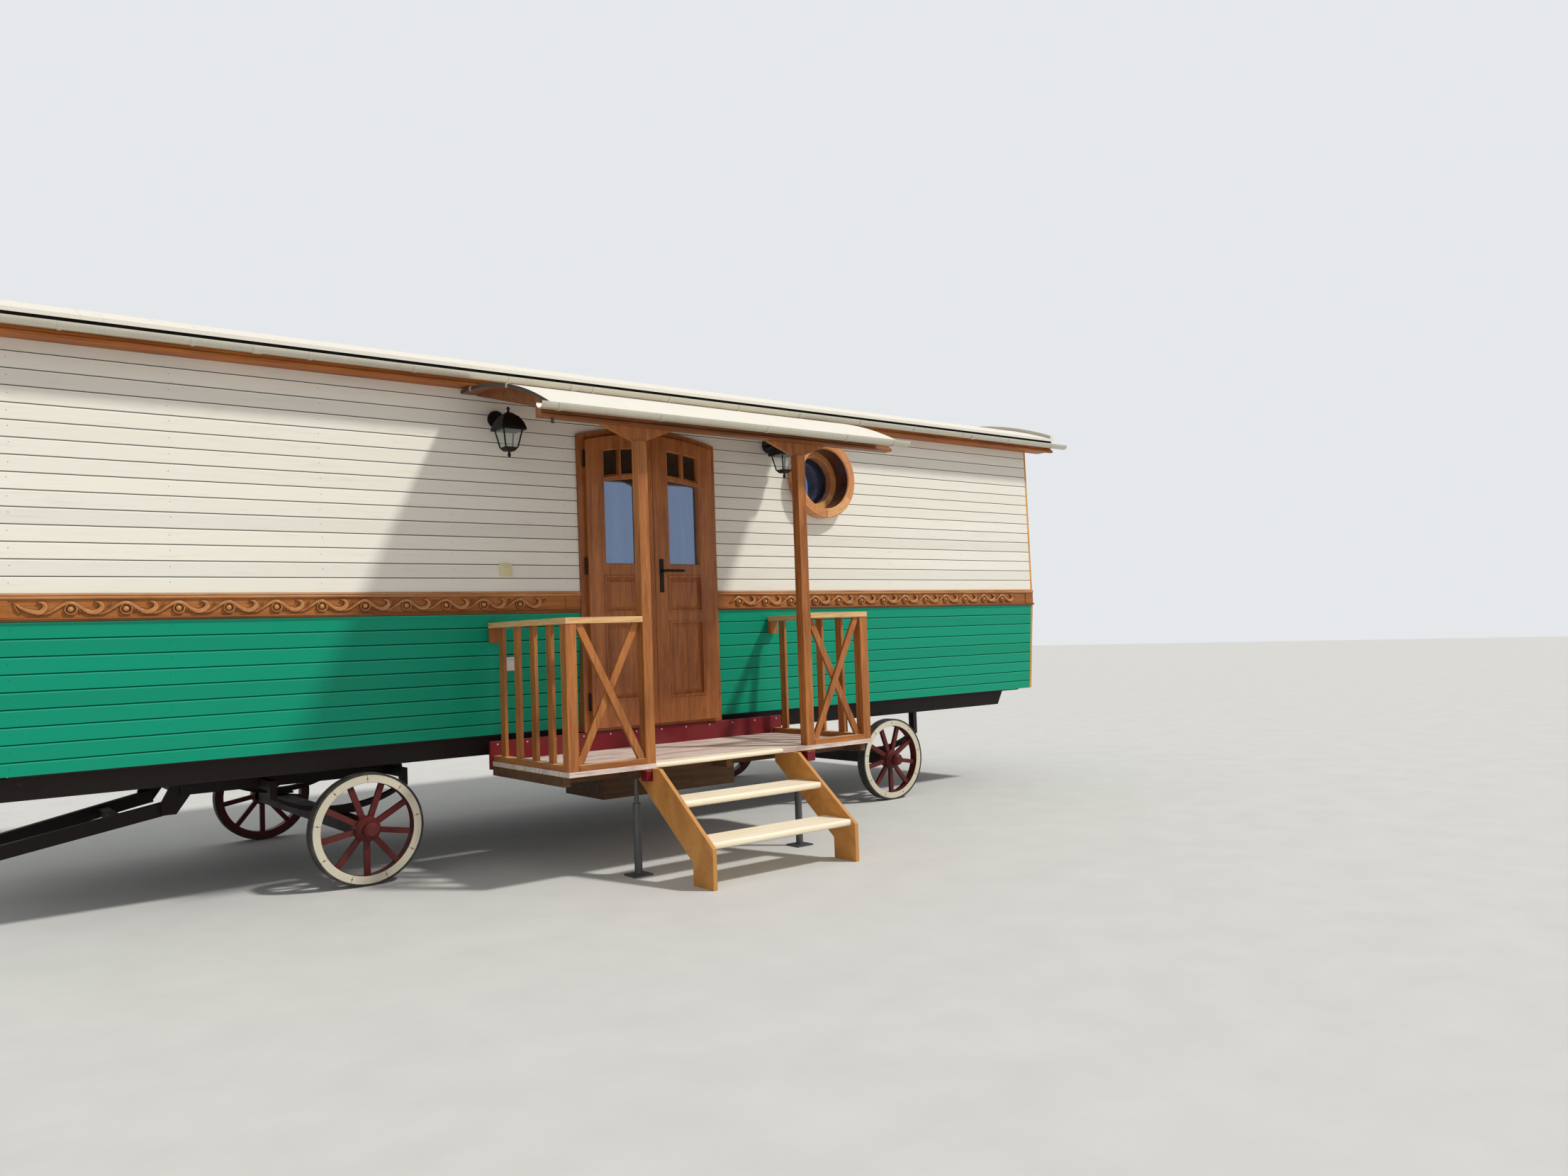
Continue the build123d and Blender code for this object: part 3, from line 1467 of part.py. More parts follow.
with BuildPart() as treads:
    for top, front in zip(tread_tops, tread_fronts):
        y = side_y(-1, -front)
        block(
            (stair_x[0] + stringer_thickness, stair_x[1]),
            (y, y + tread_depth),
            (top - tread_thickness, top),
        )
    nose_edges = treads.edges().filter_by(Axis.X).filter_by(
        lambda e: any(abs(e.center().Y - side_y(-1, -front)) < 1 for front in tread_fronts)
    )
    fillet(nose_edges, radius=tread_radius)
    add(nosing.part)
save(treads.part, "treads")

# Canopy: an arched sheet on ribs, a front beam on flared brackets, and its gutter
canopy_ends = (canopy_x - canopy_length / 2, canopy_x + canopy_length / 2)
canopy_centre = canopy_crown - canopy_radius


def canopy_height(radius, reach):
    """Height of an arc of the canopy at a reach from the wall."""
    return canopy_centre + sqrt(radius**2 - reach**2)


def canopy_face(outer, inner, near, far, x):
    """The face between two arcs of the canopy, from a near reach to a far one."""
    with BuildSketch(Plane.YZ.offset(x)) as section:
        with BuildLine():
            middle = (near + far) / 2
            high = [(side_y(-1, -r), canopy_height(outer, r)) for r in (near, middle, far)]
            low = [(side_y(-1, -r), canopy_height(inner, r)) for r in (near, middle, far)]
            ThreePointArc(*high)
            Line(high[2], low[2])
            ThreePointArc(*reversed(low))
            Line(low[0], high[0])
        make_face()
    return section.sketch


with BuildPart() as canopy_sheet_part:
    sheet_inner = canopy_radius - canopy_sheet
    face = canopy_face(canopy_radius, sheet_inner, canopy_wall_gap, canopy_reach, canopy_ends[0])
    extrude(face, amount=canopy_length)
save(canopy_sheet_part.part, "canopy_sheet")

# Ribs with a straight lower edge under a boarded ceiling, and a moulded beam along the front
rib_reach = canopy_reach - gutter_radius - gutter_gap
ceiling_inner = sheet_inner - canopy_ceiling
beam_back_reach = deck_reach - post_setback - canopy_beam_width
canopy_beam_top = canopy_height(sheet_inner, deck_reach)
canopy_beam_x = (canopy_ends[0] + canopy_beam_inset, canopy_ends[1] + canopy_beam_run_past)
rib_step = (canopy_length - 2 * canopy_rib_inset - canopy_rib_width) / (canopy_rib_count - 1)
with BuildPart() as canopy_frame:
    extrude(
        canopy_face(sheet_inner, ceiling_inner, canopy_wall_gap, rib_reach, canopy_ends[0]),
        amount=canopy_length,
    )
    for i in range(canopy_rib_count):
        with BuildSketch(Plane.YZ.offset(canopy_ends[0] + canopy_rib_inset + i * rib_step)) as rib:
            with BuildLine():
                middle = (canopy_wall_gap + rib_reach) / 2
                arc = [
                    (side_y(-1, -reach), canopy_height(sheet_inner, reach))
                    for reach in (canopy_wall_gap, middle, rib_reach)
                ]
                ThreePointArc(*arc)
                Polyline(
                    arc[2],
                    (arc[2][0], arc[2][1] - canopy_rib_tail),
                    (side_y(-1, -beam_back_reach), beam_level + canopy_rib_heel),
                    (arc[0][0], arc[0][1] - canopy_rib_wall_depth),
                    arc[0],
                )
            make_face()
        extrude(rib.sketch, amount=canopy_rib_width)
    side_bar(
        moulded_board(-1, post_setback - deck_reach, beam_level, canopy_beam_top, canopy_beam_width),
        canopy_beam_x,
    )
    cut_y = (post_front - cut_margin, post_front + canopy_beam_width + 1)
    end_cuts(((canopy_beam_x[1], -1),), beam_level, canopy_beam_top + cut_margin, cut_y)
save(canopy_frame.part, "canopy_frame")

# The canopy's gutter, open at its left end
canopy_gutter_x = (canopy_ends[0] - canopy_gutter_run_past[0], canopy_ends[1] + canopy_gutter_run_past[1])
with BuildPart() as canopy_gutter:
    gutter(
        side_y(-1, -canopy_reach),
        canopy_height(canopy_radius, canopy_reach) - canopy_gutter_drop,
        canopy_gutter_x,
        (canopy_gutter_x[1] - gutter_wall,),
    )
save(canopy_gutter.part, "canopy_gutter")

# Lanterns: wall plate, arm, domed cap, a tapered glazed cage and a turned drop
lantern_middle = door_x - lantern_left_of_door
lantern_x = [lantern_middle - lantern_spacing / 2, lantern_middle + lantern_spacing / 2]
lantern_y = side_y(-1, -lantern_reach)
bowl_bottom = lantern_height + lantern_finial_height
cage_bottom = bowl_bottom + lantern_bowl_height
cage_top = cage_bottom + lantern_glass_height
dome_bottom = cage_top + lantern_rim_height
dome_top = dome_bottom + lantern_dome_height
arm_level = dome_top - lantern_arm_size
dome_table = [
    # share of the dome's height, share of the cap's width
    (0, 1),
    (0.35, 0.86),
    (0.72, 0.6),
    (1, 0.2),
]


def square_at(x, y, z, size):
    """A level square about a point."""
    with BuildSketch(Plane.XY.offset(z)) as square:
        with Locations((x, y)):
            Rectangle(size, size)
    return square.sketch


def turned(x, y, levels):
    """A turned piece about an upright axis, from (radius, Z) points."""
    with BuildSketch(Plane((x, y, 0), x_dir=(1, 0, 0), z_dir=(0, -1, 0))) as profile:
        with BuildLine():
            Polyline((0, levels[0][1]), *levels, (0, levels[-1][1]), close=True)
        make_face()
    revolve(profile.sketch, axis=Axis((x, y, 0), (0, 0, 1)))


with BuildPart() as lanterns:
    for x in lantern_x:
        wall_face = side_y(-1, face_inset(arm_level - lantern_plate_radius))
        with BuildSketch(Plane.XZ.offset(-wall_face)) as plate:
            with Locations((x, arm_level)):
                Circle(lantern_plate_radius)
        extrude(plate.sketch, amount=lantern_plate_thickness)
        block(
            (x - lantern_arm_size / 2, x + lantern_arm_size / 2),
            (wall_face - lantern_plate_thickness, lantern_y),
            (arm_level - lantern_arm_size / 2, arm_level + lantern_arm_size / 2),
        )
        for share, wide in zip(dome_table[:-1], dome_table[1:]):
            ends = [
                square_at(x, lantern_y, dome_bottom + row[0] * lantern_dome_height, row[1] * lantern_cap)
                for row in (share, wide)
            ]
            loft(ends)
        extrude(square_at(x, lantern_y, cage_top, lantern_cap), amount=lantern_rim_height)
        tip = dome_top + lantern_finial_height
        turned(
            x,
            lantern_y,
            [
                (lantern_knob, dome_top - lantern_knob),
                (lantern_knob, dome_top),
                (lantern_neck, dome_top + lantern_knob),
                (lantern_knob, tip - lantern_knob),
                (lantern_neck, tip),
            ],
        )
        loft(
            [
                square_at(x, lantern_y, bowl_bottom, lantern_bowl_foot),
                square_at(x, lantern_y, cage_bottom, lantern_glass_bottom + lantern_bar),
            ]
        )
        turned(
            x,
            lantern_y,
            [
                (lantern_neck, lantern_height),
                (lantern_knob, lantern_height + lantern_knob),
                (lantern_neck, bowl_bottom - lantern_neck),
                (lantern_knob, bowl_bottom + 1),
            ],
        )
        for sx in (-1, 1):
            for sy in (-1, 1):
                foot = (x + sx * lantern_glass_bottom / 2, lantern_y + sy * lantern_glass_bottom / 2)
                top = (x + sx * lantern_glass_top / 2, lantern_y + sy * lantern_glass_top / 2)
                loft(
                    [
                        square_at(foot[0], foot[1], cage_bottom - 1, lantern_bar),
                        square_at(top[0], top[1], cage_top + 1, lantern_bar),
                    ]
                )
save(lanterns.part, "lanterns")

with BuildPart() as lantern_glass:
    for x in lantern_x:
        for shrink, mode in ((0, Mode.ADD), (2 * lantern_pane, Mode.SUBTRACT)):
            loft(
                [
                    square_at(x, lantern_y, cage_bottom, lantern_glass_bottom - shrink),
                    square_at(x, lantern_y, cage_top, lantern_glass_top - shrink),
                ],
                mode=mode,
            )
    add(lanterns.part, mode=Mode.SUBTRACT)
save(lantern_glass.part, "lantern_glass")

# Underfloor locker hung between the axles
locker_x = (right_end - locker_from_right_end - locker_size[0], right_end - locker_from_right_end)
with BuildPart() as locker:
    block(
        locker_x,
        (side_y(-1, beam_inset), side_y(-1, beam_inset + locker_size[1])),
        (beam_bottom - locker_size[2], beam_bottom),
    )
save(locker.part, "underfloor_locker")
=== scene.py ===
import json
import math
import random

import bmesh
import bpy
from mathutils import Matrix, Vector


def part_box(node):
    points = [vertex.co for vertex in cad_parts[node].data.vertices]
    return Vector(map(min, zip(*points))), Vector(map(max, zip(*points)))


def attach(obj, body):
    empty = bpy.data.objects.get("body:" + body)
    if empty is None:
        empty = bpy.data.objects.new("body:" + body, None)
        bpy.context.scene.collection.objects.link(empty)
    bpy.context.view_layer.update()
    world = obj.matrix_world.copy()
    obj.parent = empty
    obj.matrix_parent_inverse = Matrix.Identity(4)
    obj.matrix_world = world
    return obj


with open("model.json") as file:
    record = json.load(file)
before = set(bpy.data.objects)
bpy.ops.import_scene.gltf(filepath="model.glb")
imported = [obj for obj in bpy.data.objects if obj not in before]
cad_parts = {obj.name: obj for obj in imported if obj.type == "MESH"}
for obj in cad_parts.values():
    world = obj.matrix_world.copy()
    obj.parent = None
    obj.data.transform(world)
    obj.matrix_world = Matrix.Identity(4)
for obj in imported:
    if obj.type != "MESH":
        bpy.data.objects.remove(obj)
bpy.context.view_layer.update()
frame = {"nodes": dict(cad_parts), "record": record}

NODES = frame["nodes"]
BODIES = frame["record"]["behaviour"]["bodies"]
SLOT_OF = {row["node"]: row["material_slot"] for row in frame["record"]["subparts"]}


def body_of(node):
    """The body that a CAD node belongs to."""
    return next(body for body, members in BODIES.items() if node in members)


# Places read from the frame: the long wall of the door side faces -Y
FRIEZE_LOW, FRIEZE_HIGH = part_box("frieze")
LEFT_END, RIGHT_END = FRIEZE_LOW.x, FRIEZE_HIGH.x
WALL_Y, FAR_Y = FRIEZE_LOW.y, FRIEZE_HIGH.y
FRIEZE_BOTTOM, FRIEZE_TOP = FRIEZE_LOW.z, FRIEZE_HIGH.z
FRAME_LOW, FRAME_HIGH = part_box("door_frame")
DOOR_X = (FRAME_LOW.x + FRAME_HIGH.x) / 2
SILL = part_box("lower_cladding")[0].z
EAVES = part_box("eaves_boards")[0].z
WALL_TOP = EAVES + 0.008
BOARD_PITCH = 0.09
PORTHOLE_LOW, PORTHOLE_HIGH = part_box("porthole_ring")
PORTHOLE = Vector(((PORTHOLE_LOW.x + PORTHOLE_HIGH.x) / 2, 0, (PORTHOLE_LOW.z + PORTHOLE_HIGH.z) / 2))
PORTHOLE_RADIUS = (PORTHOLE_HIGH.x - PORTHOLE_LOW.x) / 2

# Camera: the photograph's, fitted on the level lines of the wall
CAMERA_FROM_RIGHT_END = 8.669
CAMERA_FROM_WALL = 6.972
CAMERA_HEIGHT = 1.435
CAMERA_YAW = 0.678
CAMERA_PITCH = 0.0404
CAMERA_ROLL = -0.0347
CAMERA_LENS = 26.02
SENSOR_WIDTH = 36


# Colours

def srgb(r, g, b):
    """A colour written as it shows on screen, as linear values for a shader."""
    linear = [c / 12.92 if c <= 0.04045 else ((c + 0.055) / 1.055) ** 2.4 for c in (r, g, b)]
    return (*linear, 1)


def lit(colour, gain, base=0.0):
    """A colour made darker or lighter, up to white."""
    return tuple(min(1, c * gain + base) for c in colour[:3]) + (1,)


CREAM = srgb(0.935, 0.92, 0.875)
GREEN = srgb(0.0, 0.59, 0.46)
MAROON = srgb(0.45, 0.08, 0.12)
ORANGE_LIGHT, ORANGE_DARK = srgb(0.72, 0.45, 0.24), srgb(0.47, 0.25, 0.11)
HONEY_LIGHT, HONEY_DARK = srgb(0.74, 0.47, 0.24), srgb(0.48, 0.27, 0.12)
# painted shade: the near-black colour that downward faces of the floor wood take
UNDERSIDE = srgb(0.17, 0.13, 0.11)


# Materials

class Graph:
    """A small writer of shader nodes; each call adds a node and gives back its output socket."""

    def __init__(self, name, world=False):
        self.owner = (bpy.data.worlds if world else bpy.data.materials).new(name)
        self.owner.use_nodes = True
        self.tree = self.owner.node_tree
        self.tree.nodes.clear()
        self.out = self.node("OutputWorld" if world else "OutputMaterial")

    def node(self, kind, settings=None, **inputs):
        """A node with its inputs, named as Base_Color or numbered as i0."""
        made = self.tree.nodes.new("ShaderNode" + kind)
        for key, value in (settings or {}).items():
            setattr(made, key, value)
        for key, value in inputs.items():
            numbered = key[0] == "i" and key[1:].isdigit()
            socket = made.inputs[int(key[1:]) if numbered else key.replace("_", " ")]
            if isinstance(value, bpy.types.NodeSocket):
                self.tree.links.new(value, socket)
            else:
                socket.default_value = value
        return made

    def place(self, scale=(1, 1, 1)):
        """Object coordinates in metres, stretched."""
        coords = self.node("TexCoord").outputs["Object"]
        return self.node("Mapping", Vector=coords, Scale=scale).outputs[0]

    def part(self, source, index):
        """One number of the object coordinates or of the surface's direction."""
        return self.node("SeparateXYZ", Vector=self.node("TexCoord").outputs[source]).outputs[index]

    def axis(self, index):
        """One object coordinate as a number, in metres."""
        return self.part("Object", index)

    def facing(self, index):
        """How far the surface faces along one axis, from 0 to 1."""
        return self.math("ABSOLUTE", self.part("Normal", index))

    def upward(self):
        """How far the surface faces up: 1 for a level top, -1 for a level underside."""
        return self.part("Normal", 2)

    def noise(self, vector, scale, detail=4.0, rough=0.55, twist=0.0):
        made = self.node("TexNoise", Vector=vector, Scale=scale, Detail=detail, Roughness=rough,
                         Distortion=twist)
        return made.outputs["Fac"]

    def cells(self, vector, scale):
        return self.node("TexVoronoi", Vector=vector, Scale=scale).outputs["Distance"]

    def chance(self, value):
        """A random number from 0 to 1 for each whole value."""
        return self.node("TexWhiteNoise", {"noise_dimensions": "1D"}, W=value).outputs["Value"]

    def math(self, operation, a, b=0.0):
        return self.node("Math", {"operation": operation}, i0=a, i1=b).outputs[0]

    def plus(self, a, b):
        return self.math("ADD", a, b)

    def minus(self, a, b):
        return self.math("SUBTRACT", a, b)

    def times(self, a, b):
        return self.math("MULTIPLY", a, b)

    def spread(self, value, low, high, to_low=0.0, to_high=1.0):
        """A value moved from one range to another and held inside it."""
        made = self.node("MapRange", Value=value)
        for socket, number in zip(made.inputs[1:5], (low, high, to_low, to_high)):
            socket.default_value = number
        return made.outputs[0]

    def ramp(self, value, *stops):
        """A colour that runs through stops of (place, colour)."""
        made = self.node("ValToRGB", Fac=value)
        points = made.color_ramp.elements
        while len(points) < len(stops):
            points.new(0.5)
        for point, (place, colour) in zip(points, stops):
            point.position = place
            point.color = colour
        return made.outputs[0]

    def mix(self, share, a, b):
        return self.node("Mix", {"data_type": "RGBA"}, i0=share, i6=a, i7=b).outputs[2]

    def stain(self, colour, other, value, low, high, share):
        """A colour that turns to another, up to a share, as a value runs from low to high."""
        return self.mix(self.spread(value, low, high, 0, share), colour, other)

    def bump(self, height, strength, distance):
        return self.node("Bump", Height=height, Strength=strength, Distance=distance).outputs[0]

    def surface(self, colour, roughness, normal=None, **settings):
        """Ends the graph in a Principled shader and gives back the material."""
        if normal is not None:
            settings["Normal"] = normal
        shader = self.node("BsdfPrincipled", Base_Color=colour, Roughness=roughness, **settings)
        self.tree.links.new(shader.outputs[0], self.out.inputs[0])
        return self.owner


GRAIN_SCALES = {"x": (0.9, 14, 14), "y": (14, 0.9, 14), "z": (14, 14, 0.9)}


def wood(name, light, dark, grain="x", gloss=0.42, depth=0.35, wear=0.0, coat=0.0, bleach=0.0, rail=None,
         under=None):
    """Varnished or bare wood: long fibres, broad rings and pores.

    A rail is (foot level, hand rail level, grain): below and above them the grain runs its own way,
    and the hand rail is sun-bleached.
    """
    g = Graph(name)
    along = g.place(GRAIN_SCALES[grain])
    if rail:
        foot_level, hand_level, rail_grain = rail
        above = g.spread(g.axis(2), hand_level, hand_level + 0.001)
        below = g.spread(g.axis(2), foot_level, foot_level + 0.001, 1, 0)
        along = g.mix(g.math("MAXIMUM", above, below), along, g.place(GRAIN_SCALES[rail_grain]))
    rings = g.noise(along, 1.1, 3, 0.5, 1.4)
    fibres = g.noise(along, 7.5, 6, 0.62, 0.3)
    pores = g.noise(along, 26, 3, 0.7)
    blotch = g.noise(g.place(), 2.2, 3, 0.5)
    tone = g.plus(g.times(rings, 0.5), g.times(fibres, 0.5))
    tone = g.plus(tone, g.times(g.minus(blotch, 0.5), 0.35))
    middle = tuple((a + b) / 2 for a, b in zip(light, dark))
    colour = g.ramp(tone, (0.3, dark), (0.48, middle), (0.66, light))
    colour = g.stain(colour, lit(dark, 0.45), pores, 0.62, 0.74, 0.45)
    if wear:
        colour = g.stain(colour, srgb(0.62, 0.56, 0.48), g.noise(along, 2.1, 5, 0.7), 0.5, 0.72, wear)
    if bleach:
        top = g.times(g.spread(g.upward(), 0.75, 0.95, 0, bleach), g.spread(fibres, 0.3, 0.6, 0.6, 1))
        colour = g.mix(top, colour, srgb(0.95, 0.84, 0.68))
    # painted shade: faces that point down turn to the under colour
    if under:
        colour = g.mix(g.spread(g.upward(), 0.3, 0.6, 1, 0), colour, under)
    if rail:
        bleached = g.times(above, g.spread(fibres, 0.3, 0.6, 0.4, 0.8))
        colour = g.mix(bleached, colour, srgb(0.93, 0.77, 0.55))
    rough = g.spread(g.plus(fibres, g.times(blotch, 0.6)), 0.4, 1.1, gloss - 0.08, gloss + 0.2)
    normal = g.bump(g.plus(fibres, g.times(pores, 0.6)), depth, 0.0016)
    return g.surface(colour, rough, normal, Coat_Weight=coat, Coat_Roughness=0.18, Specular_IOR_Level=0.28)


def carving_wood():
    """Varnished carving: painted shade where it meets the wall, painted highlight on its ridges."""
    g = Graph("carving_wood")

    def beyond(index, low, high):
        """How far a place stands outside two opposite walls."""
        return g.minus(g.math("ABSOLUTE", g.minus(g.axis(index), (low + high) / 2)), (high - low) / 2)

    fibres = g.noise(g.place((2.5, 9, 9)), 7, 6, 0.62, 0.3)
    proud = g.math("MAXIMUM", beyond(1, WALL_Y, FAR_Y), beyond(0, LEFT_END, RIGHT_END))
    colour = g.ramp(fibres, (0.34, srgb(0.56, 0.33, 0.15)), (0.66, srgb(0.74, 0.48, 0.25)))
    # painted shade: near-black brown where the carving stands least proud of the wall
    colour = g.mix(g.spread(proud, 0.001, 0.0075, 0.85, 0), colour, srgb(0.26, 0.12, 0.05))
    # painted highlight: pale wood on the ridges that stand proudest
    colour = g.stain(colour, srgb(0.88, 0.67, 0.44), proud, 0.011, 0.017, 0.4)
    return g.surface(colour, g.spread(fibres, 0.3, 0.7, 0.26, 0.4), g.bump(fibres, 0.2, 0.001),
                     Coat_Weight=0.25, Coat_Roughness=0.15, Specular_IOR_Level=0.3)


def painted_boards(name, colour, joint_level, direction):
    """Satin paint on level boards, which are counted up (1) or down (-1) from a joint.

    Each board is a shade apart, with brush marks, dirt, a dark joint and a painted-highlight lip below it.
    """
    g = Graph(name)
    count = g.times(g.minus(g.axis(2), joint_level), direction / BOARD_PITCH)
    board = g.math("FLOOR", g.plus(count, 0.001))
    within = g.minus(count, board)
    brush = g.noise(g.place((1.2, 1.2, 55)), 4, 5, 0.65)
    cloud = g.noise(g.place(), 1.3, 4, 0.6)
    fine = g.noise(g.place((3, 3, 30)), 9, 4, 0.6)
    shade = g.spread(g.chance(board), 0, 1, 0.93, 1.03)
    coat = g.node("HueSaturation", Color=colour, Value=shade).outputs[0]
    coat = g.stain(coat, lit(colour, 0.8), brush, 0.42, 0.72, 0.22)
    dirt = srgb(0.36, 0.31, 0.22)
    coat = g.stain(coat, dirt, g.noise(g.place((0.6, 0.6, 9)), 5, 6, 0.7), 0.55, 0.8, 0.16)
    edge = g.math("ABSOLUTE", g.minus(within, 0.5))
    coat = g.stain(coat, lit(colour, 0.13), edge, 0.453, 0.488, 0.88)
    # painted highlight: the lip just below each joint is paler, as a lower board's top edge lit from above
    below_joint = within if direction < 0 else g.minus(1.0, within)
    lip = g.times(g.spread(below_joint, 0.045, 0.06), g.spread(below_joint, 0.09, 0.12, 1, 0))
    coat = g.mix(g.times(lip, 0.6), coat, lit(colour, 1.25, 0.06))
    specks = g.spread(g.cells(g.place((1, 1, 3)), 38), 0.03, 0.075, 0.3, 0)
    coat = g.mix(g.times(specks, g.spread(cloud, 0.45, 0.6)), coat, dirt)
    rough = g.spread(g.plus(brush, cloud), 0.7, 1.3, 0.34, 0.56)
    height = g.plus(g.times(brush, 0.7), g.times(fine, 0.5))
    return g.surface(coat, rough, g.bump(height, 0.3, 0.0012), Specular_IOR_Level=0.2)


def paint(name, colour, gloss=0.38, dust=0.2, chips=0.0, metallic=0.0, under=srgb(0.35, 0.22, 0.15)):
    """A coat of paint with dust, small scuffs and a faint orange-peel bump."""
    g = Graph(name)
    cloud = g.noise(g.place(), 3.5, 5, 0.6)
    grit = g.noise(g.place(), 90, 3, 0.6)
    pale = srgb(0.52, 0.48, 0.42)
    coat = g.stain(colour, pale, cloud, 0.4, 0.75, dust)
    coat = g.stain(coat, pale, grit, 0.58, 0.75, dust * 0.8)
    if chips:
        coat = g.stain(coat, under, g.noise(g.place(), 34, 6, 0.7), 0.66, 0.7, chips)
    rough = g.spread(g.plus(cloud, grit), 0.7, 1.3, gloss, gloss + 0.25)
    return g.surface(coat, rough, g.bump(grit, 0.12, 0.0008), Metallic=metallic, Specular_IOR_Level=0.25)


def metal(name, colour, gloss, marks):
    """Bare or coated sheet metal with water marks and fine scratches."""
    g = Graph(name)
    cloud = g.noise(g.place(), 6, 5, 0.6)
    runs = g.noise(g.place((22, 22, 1.5)), 3, 4, 0.6)
    scratch = g.noise(g.place((2, 60, 60)), 12, 4, 0.6)
    coat = g.stain(colour, lit(colour, 0.55), g.times(cloud, runs), 0.2, 0.45, marks)
    rough = g.spread(scratch, 0.3, 0.7, gloss, gloss + 0.22)
    return g.surface(coat, rough, g.bump(scratch, 0.08, 0.0006), Metallic=0.75)


def sheeting(name, colour):
    """Mineral-grained roofing sheet, weathered in runs down the slope."""
    g = Graph(name)
    grit = g.noise(g.place(), 420, 2, 0.7)
    cloud = g.noise(g.place(), 1.6, 5, 0.6)
    runs = g.noise(g.place((9, 0.7, 0.7)), 4, 5, 0.65)
    coat = g.stain(colour, lit(colour, 0.75), grit, 0.35, 0.7, 0.3)
    coat = g.stain(coat, srgb(0.55, 0.53, 0.46), runs, 0.55, 0.8, 0.3)
    coat = g.stain(coat, srgb(0.93, 0.9, 0.83), cloud, 0.5, 0.75, 0.2)
    return g.surface(coat, g.spread(cloud, 0.3, 0.7, 0.7, 0.9), g.bump(grit, 0.35, 0.0015))


def rubber(name):
    """Dusty black rubber."""
    g = Graph(name)
    dust = g.noise(g.place(), 14, 6, 0.7)
    grit = g.noise(g.place(), 160, 2, 0.6)
    coat = g.stain(srgb(0.1, 0.1, 0.1), srgb(0.42, 0.39, 0.35), dust, 0.42, 0.75, 0.55)
    return g.surface(coat, g.spread(dust, 0.3, 0.7, 0.62, 0.88), g.bump(grit, 0.3, 0.001))


def ply(name):
    """Golden plywood: a flowing face grain on the sheets and thin layers on their cut edges."""
    g = Graph(name)
    layers_in_metre = 1 / 0.0045
    face = g.noise(g.place((8, 1.2, 1.2)), 2.2, 5, 0.6, 1.6)
    fibres = g.noise(g.place((40, 4, 14)), 5, 4, 0.6)
    flat = (0.32, srgb(0.7, 0.46, 0.2)), (0.5, srgb(0.79, 0.54, 0.26)), (0.68, srgb(0.86, 0.62, 0.32))
    cut = (0.42, srgb(0.83, 0.6, 0.3)), (0.55, srgb(0.56, 0.34, 0.15)), (0.95, srgb(0.78, 0.55, 0.27))
    layer = g.math("FRACT", g.times(g.axis(0), layers_in_metre))
    colour = g.mix(g.spread(g.facing(0), 0.4, 0.6), g.ramp(layer, *cut), g.ramp(face, *flat))
    colour = g.stain(colour, srgb(0.5, 0.35, 0.2), g.noise(g.place(), 9, 5, 0.7), 0.58, 0.78, 0.35)
    return g.surface(colour, g.spread(fibres, 0.3, 0.7, 0.4, 0.62), g.bump(fibres, 0.3, 0.0014))


def weathered(name, light, dark):
    """Bare deck boards gone grey, with open grain and reddish patches of old stain."""
    g = Graph(name)
    along = g.place(GRAIN_SCALES["x"])
    fibres = g.noise(along, 5, 7, 0.68, 0.4)
    cracks = g.noise(along, 16, 4, 0.75)
    patches = g.noise(g.place((0.8, 2.5, 1)), 3.2, 5, 0.6)
    colour = g.ramp(fibres, (0.32, dark), (0.66, light))
    colour = g.stain(colour, srgb(0.55, 0.36, 0.28), patches, 0.48, 0.7, 0.5)
    colour = g.stain(colour, srgb(0.16, 0.13, 0.11), cracks, 0.62, 0.72, 0.7)
    height = g.minus(fibres, g.times(cracks, 0.7))
    return g.surface(colour, g.spread(fibres, 0.3, 0.7, 0.66, 0.88), g.bump(height, 0.6, 0.002))


def glass(name, tint, cover, index=1.5, mirror=0.0, shade_above=None):
    """Thin window glass: a share of tinted gloss over what is behind, painted shade above a level."""
    g = Graph(name)
    smear = g.noise(g.place((2, 2, 1)), 4, 5, 0.6)
    streak = g.noise(g.place((9, 9, 0.8)), 3, 4, 0.6)
    coat = g.stain(tint, lit(tint, 1.35), streak, 0.4, 0.75, 0.35)
    # painted shade: the glass turns dark brownish-grey above the level
    if shade_above is not None:
        coat = g.stain(coat, srgb(0.4, 0.36, 0.32), g.axis(2), shade_above, shade_above + 0.01, 1)
    return g.surface(coat, g.spread(smear, 0.4, 0.8, 0.02, 0.09), Alpha=cover, IOR=index, Metallic=mirror)


def cloth(name):
    """Thin grey-white cloth with a fine weave."""
    g = Graph(name)
    weave = g.noise(g.place(), 900, 2, 0.6)
    cloud = g.noise(g.place(), 5, 4, 0.5)
    tone = g.stain(srgb(0.62, 0.6, 0.53), srgb(0.5, 0.48, 0.42), cloud, 0.4, 0.7, 0.2)
    return g.surface(tone, g.spread(weave, 0.3, 0.7, 0.8, 0.95), g.bump(weave, 0.2, 0.0004))


FACE_RADIUS, LEDGE_RADIUS = 0.242, 0.188
PALE_PIECE_START, PALE_PIECE_END = -1.55, -0.55


